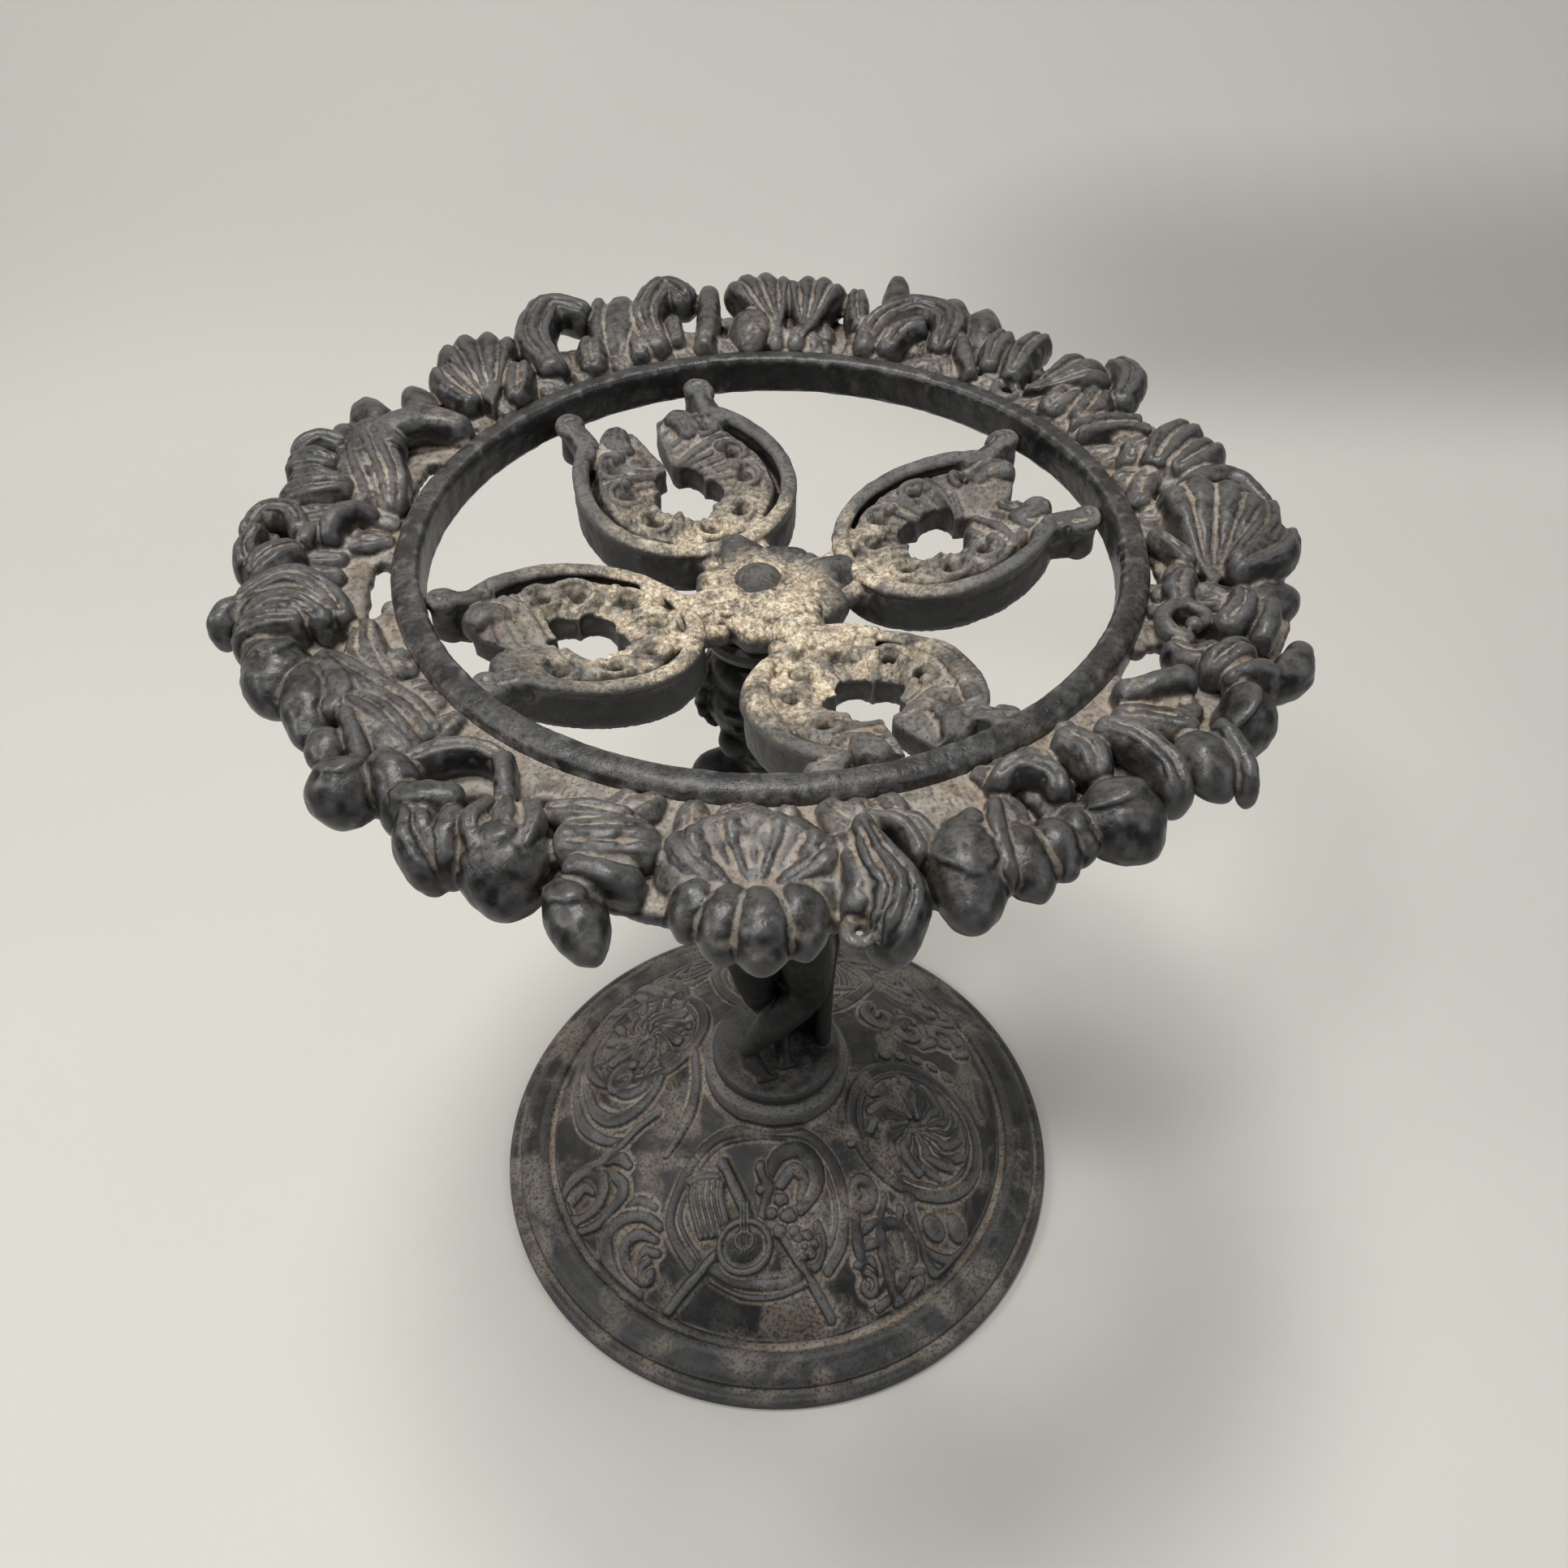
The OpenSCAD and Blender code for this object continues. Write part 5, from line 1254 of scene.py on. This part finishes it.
def make_foot():
    """Foot casting: moulded rim, carved bell, collar, and the plain hollow underneath."""
    bell_r = np.linspace(BELL_RADIUS, COLLAR_RADIUS + 0.4, 200)
    bell = np.stack([bell_r, bell_height(bell_r)], -1)
    rim = spline([(FOOT_RADIUS - inwards, z) for inwards, z in RIM], 90)
    edge, top = COLLAR_RADIUS, COLLAR_TOP
    collar = [(edge, top - COLLAR_HEIGHT + 1), (edge, top - 5), (edge, top - 1.3), (edge - 0.5, top - 0.3),
              (edge - 1.6, top), (12, top), (BOLT_HOLE, top)]
    inner_r = np.linspace(COLLAR_RADIUS - 4, BELL_RADIUS - 3, 40)
    inner = np.stack([inner_r, bell_height(inner_r) - BELL_WALL], -1)
    under = [(BOLT_HOLE, top - COLLAR_ROOF), (inner_r[0], top - COLLAR_ROOF)]
    profile = np.concatenate([rim, bell, collar, under, inner, [(FOOT_RADIUS - 14, 4), (FOOT_RADIUS - 9, 1)]])
    rings = revolve(profile, ROUND_THE_FOOT)
    zone = rings[len(rim) : len(rim) + len(bell)]
    radius = np.hypot(zone[..., 0], zone[..., 1])
    relief = Relief(zone[..., 0].ravel(), zone[..., 1].ravel(), bold=1.45)
    carve(relief)
    uneven = 0.5 * noise3(zone.reshape(-1, 3), 9.0, 11)
    fade = np.clip((radius - COLLAR_RADIUS) / 2, 0, 1) * np.clip((BELL_RADIUS - radius) / 1.5, 0, 1)
    height = (relief.height + uneven).reshape(radius.shape) * fade
    for axis in (0, 1):
        height = 0.5 * height + 0.25 * (np.roll(height, 1, axis) + np.roll(height, -1, axis))
    slope = np.gradient(bell[:, 1]) / np.gradient(bell[:, 0])
    outwards, upwards = -slope / np.hypot(slope, 1), 1 / np.hypot(slope, 1)
    zone[..., :2] += zone[..., :2] / radius[..., None] * (height * outwards[:, None])[..., None]
    zone[..., 2] += height * upwards[:, None]
    rings[..., 2] = np.maximum(rings[..., 2], 0)
    clay = Clay()
    clay.rings(np.swapaxes(rings, 0, 1), closed=True)
    return place(clay.mesh("relief_foot"), "relief_foot")


# ------------------------------------------------------------------ materials


class Nodes:
    """Short way to add and join the shader nodes of one material."""

    def __init__(self, name):
        self.material = bpy.data.materials.new(name)
        self.material.use_nodes = True
        self.tree = self.material.node_tree
        self.tree.nodes.clear()
        self.where = self.add("ShaderNodeTexCoord").outputs["Object"]

    def add(self, kind, **inputs):
        node = self.tree.nodes.new(kind)
        for key, value in inputs.items():
            if hasattr(node, key) and key not in node.inputs:
                setattr(node, key, value)
            else:
                self.set(node, key, value)
        return node

    def set(self, node, key, value):
        if isinstance(value, bpy.types.NodeSocket):
            self.tree.links.new(value, node.inputs[key])
        else:
            node.inputs[key].default_value = value

    def math(self, operation, *values, clamp=False):
        node = self.add("ShaderNodeMath", operation=operation, use_clamp=clamp)
        for k, value in enumerate(values):
            self.set(node, k, value)
        return node.outputs[0]

    def times(self, product, *factors, clamp=False):
        *inner, last = factors
        for factor in inner:
            product = self.math("MULTIPLY", product, factor)
        return self.math("MULTIPLY", product, last, clamp=clamp)

    def axes(self, vector=None):
        return self.add("ShaderNodeSeparateXYZ", Vector=self.where if vector is None else vector).outputs

    def between(self, value, low, high, to_low=0.0, to_high=1.0):
        """Soft step: to_low where the value is low, to_high where it is high."""
        limits = {"From Min": low, "From Max": high, "To Min": to_low, "To Max": to_high}
        node = self.add("ShaderNodeMapRange", interpolation_type="SMOOTHSTEP", Value=value, **limits)
        return node.outputs["Result"]

    def blend(self, factor, a, b):
        node = self.add("ShaderNodeMix", data_type="RGBA")
        for k, value in ((0, factor), (6, a), (7, b)):
            self.set(node, k, value)
        return node.outputs[2]

    def noise(self, size_mm, detail=3.0, roughness=0.55, distortion=0.0):
        shape = dict(Detail=detail, Roughness=roughness, Distortion=distortion)
        return self.add("ShaderNodeTexNoise", Vector=self.where, Scale=1 / (size_mm * MM), **shape).outputs[0]

    def paint(self, colour, **surface):
        """Ends the material with a shader of this colour."""
        shader = self.add("ShaderNodeBsdfPrincipled", **{"Base Color": colour}, **surface)
        output = self.add("ShaderNodeOutputMaterial")
        self.tree.links.new(shader.outputs[0], output.inputs["Surface"])
        return self.material


BLACK_IRON = (0.005, 0.0052, 0.0057, 1)
GREY_IRON = (0.015, 0.0155, 0.0165, 1)
# Ridge colour: real wear, and a painted highlight along crisp edges
WORN_EDGE_AND_HIGHLIGHT = (0.17, 0.17, 0.17, 1)
WARM_DUST = (0.30, 0.24, 0.18, 1)
PALE_DUST = (0.36, 0.325, 0.275, 1)
# Grey film of dust on what faces up, also used as the painted sheen of light on the tops
GREY_FILM_AND_SHEEN = (0.135, 0.131, 0.122, 1)
CHALK = (0.72, 0.64, 0.49, 1)
GOLDEN_CRUST = (0.34, 0.25, 0.145, 1)
RUST = (0.21, 0.105, 0.055, 1)
CRUST_CENTRE = (-6, -12)  # where the pale crust is thickest, beside the screw
DUST_BED = (HOOP_TOP - 6, HOOP_TOP - 2)  # heights between which the border's bed of dust fades
RUBBED_RIM = (112, 124)  # distances from the axis between which the border grows clean
SHELTER = 16  # how far inside the rubbed rim the dust begins to thicken


def iron(name, dust=0.6, film_and_sheen=0.5, chalk=0.0, rust=0.2, gloss=0.5, grain=0.8, has_cavity=True, near_axis=None,
         is_border=False, patches=0.0, edge_wear_and_highlight=0.3, grey=1.0, specular=0.5):
    """Worn black cast iron: warm dust packed in hollows, a grey dust film with painted sheen on top, bare black
    flanks.
    """
    n = Nodes(name)
    broad = n.noise(34, 2)
    patch = n.noise(8, 4, 0.6, 0.4)
    fine = n.noise(1.2, 4, 0.65)
    speck = n.noise(0.5, 2, 0.7)
    openness = n.add("ShaderNodeAmbientOcclusion", samples=6, Distance=7 * MM).outputs["AO"]
    closed_in = n.between(openness, 0.9, 0.35)
    if has_cavity:
        cavity = n.add("ShaderNodeAttribute", attribute_name="cavity").outputs["Fac"]
        hollow = n.between(cavity, 0.51, 0.7)
        ridge = n.between(cavity, 0.42, 0.15)
    else:
        hollow = n.times(closed_in, 0.6)
        ridge = n.between(openness, 0.95, 1.0, 0, 0.3)
    facing = n.axes(n.add("ShaderNodeNewGeometry").outputs["Normal"])["Z"]
    upward = n.between(facing, 0.0, 0.8)
    lying = n.between(facing, 0.45, 1.0)

    def off_ridges(share):
        return n.math("MULTIPLY_ADD", ridge, -share, 1.0)

    base = n.blend(n.between(patch, 0.35, 0.7, 0, grey), BLACK_IRON, GREY_IRON)
    # Ridges lightened: partly wear, partly a painted highlight along the crisp edges
    base = n.blend(n.times(ridge, edge_wear_and_highlight), base, WORN_EDGE_AND_HIGHLIGHT)
    # Thin grey film of dust on what faces up, which also paints the sheen that light gives the tops; less on the
    # ridges that hands have rubbed
    film_and_sheen_mask = n.times(lying, n.between(patch, 0.4, 0.58, 0.2, 1.0), n.between(fine, 0.3, 0.62, 0.55, 1.0),
                   off_ridges(0.35), film_and_sheen, clamp=True)
    if is_border:
        # The outermost fruits are rubbed clean and shine
        place_xy = n.add("ShaderNodeVectorMath", operation="MULTIPLY")
        n.set(place_xy, 0, n.where)
        n.set(place_xy, 1, (1, 1, 0))
        length = n.add("ShaderNodeVectorMath", operation="LENGTH")
        n.set(length, 0, place_xy.outputs[0])
        far = length.outputs["Value"]
        start, end = RUBBED_RIM[0] * MM, RUBBED_RIM[1] * MM
        film_and_sheen_mask = n.times(film_and_sheen_mask, n.between(far, start, end, 1.0, 0.25))
        dust = n.times(n.between(far, start, end, 1.0, 0.5), dust)
        sheltered = n.between(far, start - SHELTER * MM, start, 0.75, 0.12)
    # Dust film and painted sheen laid over the iron on what faces up
    colour = n.blend(film_and_sheen_mask, base, GREY_FILM_AND_SHEEN)
    # Dust packed into the hollows
    packed = n.math("MAXIMUM", n.times(hollow, 0.85), n.times(closed_in, 0.75))
    packed = n.times(packed, n.between(broad, 0.36, 0.62, 0.25, 1.15), n.between(fine, 0.25, 0.6, 0.5, 1.0),
                     n.math("MULTIPLY_ADD", upward, 0.75, 0.25), dust, clamp=True)
    dust_colour = n.blend(n.between(patch, 0.38, 0.62), WARM_DUST, PALE_DUST)
    colour = n.blend(packed, colour, dust_colour)
    if is_border:
        # Dust lies thickest beside the hoop
        settled = n.times(sheltered, n.between(n.noise(5, 5, 0.7, 0.4), 0.4, 0.6, 0.1, 1.0), lying, off_ridges(0.8),
                          n.between(fine, 0.3, 0.6, 0.4, 1.0))
        colour = n.blend(settled, colour, dust_colour)
        # Low ground between the leaves, where dust has settled over the years
        ground = n.times(n.between(n.axes()[2], DUST_BED[1] * MM, DUST_BED[0] * MM), n.between(facing, 0.5, 0.9),
                         n.between(fine, 0.25, 0.6, 0.45, 0.85), n.between(broad, 0.3, 0.6, 0.5, 1.0))
        colour = n.blend(ground, colour, dust_colour)
    if patches:
        # Broad dry patches of dust on open ground
        dry = n.times(n.between(n.noise(22, 5, 0.6, 0.5), 0.46, 0.62), n.between(fine, 0.3, 0.6, 0.3, 0.9), upward,
                      off_ridges(0.7), patches)
        colour = n.blend(dry, colour, dust_colour)
    bloom = n.times(n.between(n.noise(6, 5, 0.7, 0.6), 0.56, 0.7), rust, n.between(speck, 0.4, 0.6))
    colour = n.blend(bloom, colour, RUST)
    if chalk:
        # Flaking pale crust round the middle of the tray
        x, y = (n.math("SUBTRACT", n.axes()[k], CRUST_CENTRE[k] * MM) for k in (0, 1))
        off = n.math("SQRT", n.math("ADD", n.times(x, x), n.times(y, y)))
        close = n.between(off, near_axis[0] * MM, near_axis[1] * MM, 1.0, 0.0)
        flakes = n.between(n.noise(9, 8, 0.8, 0.3), 0.36, 0.66)
        pale = n.times(flakes, close, chalk, n.between(speck, 0.3, 0.5, 0.5, 1.0), upward)
        grains = n.between(n.noise(1.6, 5, 0.8), 0.4, 0.6)
        colour = n.blend(pale, colour, n.blend(grains, GOLDEN_CRUST, CHALK))
    # Dark specks of bare iron, and painted shade: blackness at the bottom of the deepest furrows, where little light
    # reaches
    dark = n.times(n.between(fine, 0.5, 0.36), 0.6 * grain)
    dark = n.math("MAXIMUM", dark, n.between(openness, 0.42, 0.12, 0.0, 0.85))
    colour = n.blend(dark, colour, BLACK_IRON)
    rough = n.math("MULTIPLY_ADD", n.math("MAXIMUM", packed, film_and_sheen_mask), 0.45, mix(0.6, 0.3, gloss))
    rough = n.math("ADD", rough, n.times(n.math("SUBTRACT", fine, 0.5), 0.3))
    rough = n.math("MINIMUM", n.math("MAXIMUM", rough, 0.24), 0.95)
    # Sand-cast grain and pits
    pits = n.add("ShaderNodeTexVoronoi", Vector=n.where, Scale=1 / (1.9 * MM), Randomness=1.0).outputs["Distance"]
    relief = n.math("ADD", n.times(fine, 0.7), n.times(speck, 0.35))
    relief = n.math("ADD", relief, n.times(n.between(pits, 0.0, 0.35), 0.35))
    bump = n.add("ShaderNodeBump", Strength=0.55 * grain + 0.1, Distance=0.35 * MM, Height=relief)
    return n.paint(colour, Roughness=rough, Normal=bump.outputs["Normal"], Metallic=0.0,
                   **{"Specular IOR Level": specular})


def dress(obj, material):
    obj.data.materials.clear()
    obj.data.materials.append(material)


# ------------------------------------------------------------------ assembly


def ride(piece, node, material):
    dress(piece, material)
    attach(piece, "root")
    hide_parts(node)


garland_iron = iron("garland_iron", dust=0.85, film_and_sheen=0.42, gloss=0.9, specular=0.4, grain=0.5, rust=0.12,
                    is_border=True)
# The hoop's strong ridge value paints a bright highlight along the edges of its lip, over its wear
hoop_iron = iron("hoop_iron", dust=0.6, film_and_sheen=0.18, gloss=0.8, grain=0.9, rust=0.1, patches=0.08, edge_wear_and_highlight=1.2)
scroll_iron = iron("scroll_iron", dust=0.9, film_and_sheen=0.95, chalk=1.7, near_axis=(22, 68), gloss=0.3, grain=0.85,
                   rust=0.35, patches=0.35)
hub_iron = iron("hub_iron", dust=1.0, film_and_sheen=0.6, chalk=1.9, near_axis=(12, 28), gloss=0.25, grain=1.0, rust=0.8)
# The child's iron is kept nearly black, with little film, grey or edge light: painted shade under the tray
figure_iron = iron("figure_iron", dust=0.15, film_and_sheen=0.03, grey=0.2, edge_wear_and_highlight=0.1, specular=0.2, gloss=0.6, grain=0.5,
                   rust=0.08)
foot_iron = iron("foot_iron", dust=0.75, film_and_sheen=0.18, edge_wear_and_highlight=0.6, gloss=0.35, grain=1.0, rust=0.25, patches=0.5)
plain_iron = iron("plain_iron", dust=0.6, film_and_sheen=0.45, gloss=0.45, grain=0.8, rust=0.2, has_cavity=False)
screw_iron = iron("screw_iron", dust=0.6, film_and_sheen=0.7, gloss=0.4, grain=0.8, rust=0.8, has_cavity=False,
                  patches=0.4)

ride(make_garland(), "tray_garland", garland_iron)
ride(make_hoop(), "tray_hoop", hoop_iron)
ride(make_hub(), "tray_hub", hub_iron)
for scroll_side in SCROLLS:
    ride(make_scroll(scroll_side), "tray_scroll_" + scroll_side, scroll_iron)
ride(make_figure(), "figure_body", figure_iron)
ride(make_foot(), "foot_casting", foot_iron)
for node in ("figure_plinth", "figure_pad", "foot_washer", "foot_bolt"):
    dress(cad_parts[node], plain_iron)
dress(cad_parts["hub_screw"], screw_iron)


# ------------------------------------------------------------------ studio


PAPER = (0.60, 0.585, 0.545, 1)
PAPER_SHADE = (0.30, 0.292, 0.275, 1)


def paper_material():
    n = Nodes("paper")
    tone = n.blend(n.between(n.noise(300, 2), 0.3, 0.7), [c * 0.97 for c in PAPER[:3]] + [1], PAPER)
    # The wall falls off into a soft shade, deepest low on its right
    across, back, _ = n.axes()
    band = n.times(n.between(back, 0.47, 0.6), n.between(back, 0.8, 0.64), n.between(across, -0.05, 0.3, 0.0, 0.8))
    fall = n.between(back, 0.5, 0.72, 0.0, 0.28)
    return n.paint(n.blend(n.math("MAXIMUM", band, fall), tone, PAPER_SHADE), Roughness=0.75)


def make_backdrop():
    """Paper sweep: a level floor that curves up into a wall behind the stand."""
    front, back, bend, height, half = -5000.0, 900.0, 500.0, 2400.0, 5000.0
    angles = np.radians(np.linspace(0, 90, 24))
    line = [(front, 0.0), (back - bend, 0.0)]
    line += [(back - bend + bend * math.sin(a), bend - bend * math.cos(a)) for a in angles]
    line += [(back, height)]
    verts = [(x * MM, y * MM, z * MM) for y, z in line for x in (-half, half)]
    faces = [(2 * i, 2 * i + 1, 2 * i + 3, 2 * i + 2) for i in range(len(line) - 1)]
    mesh = bpy.data.meshes.new("backdrop")
    mesh.from_pydata(verts, [], faces)
    mesh.polygons.foreach_set("use_smooth", np.ones(len(faces), bool))
    obj = bpy.data.objects.new("backdrop", mesh)
    bpy.context.scene.collection.objects.link(obj)
    dress(obj, paper_material())


def area_light(name, location, target, size, power, colour=(1, 1, 1)):
    data = bpy.data.lights.new(name, "AREA")
    data.shape = "RECTANGLE"
    data.size, data.size_y = size[0] * MM, size[1] * MM
    data.energy = power
    data.color = colour
    obj = bpy.data.objects.new(name, data)
    obj.location = Vector(location) * MM
    aim = (Vector(target) - Vector(location)).normalized()
    obj.rotation_euler = aim.to_track_quat("-Z", "Y").to_euler()
    bpy.context.scene.collection.objects.link(obj)


make_backdrop()
area_light("ceiling", (-180, 120, 1700), (0, -20, 200), (560, 380), 18.5, (1, 0.99, 0.97))
area_light("window", (-1300, -300, 1100), (0, 0, 150), (700, 500), 8.5, (1, 0.985, 0.96))
area_light("glint", (-260, -420, 950), (0, -80, 290), (80, 80), 1.5)
area_light("fill", (1100, -500, 1100), (0, 0, 150), (1300, 1000), 5, (0.95, 0.97, 1))

world = bpy.data.worlds.new("studio")
bpy.context.scene.world = world
world.use_nodes = True
sky = world.node_tree.nodes["Background"].inputs
sky["Color"].default_value = (0.80, 0.80, 0.80, 1)
sky["Strength"].default_value = 0.17

CAMERA_PLACE = (0.0, -295.93, 495.79)
CAMERA_DOWN = 44.836
CAMERA_YAW = 0.7235
CAMERA_ROLL = 0.1122
SENSOR_WIDTH = 36
FOCAL_WIDTHS = 1717.9 / 1932  # focal length over the picture's width
camera_data = bpy.data.cameras.new("camera")
camera_data.sensor_width = SENSOR_WIDTH
camera_data.lens = SENSOR_WIDTH * FOCAL_WIDTHS
camera_data.clip_start = 0.01
camera = bpy.data.objects.new("camera", camera_data)
camera.location = Vector(CAMERA_PLACE) * MM
camera.rotation_euler = Euler(
    (math.radians(90 - CAMERA_DOWN), math.radians(CAMERA_ROLL), math.radians(-CAMERA_YAW)), "XYZ"
)
bpy.context.scene.collection.objects.link(camera)
bpy.context.scene.camera = camera
bpy.context.scene.view_settings.view_transform = "Standard"
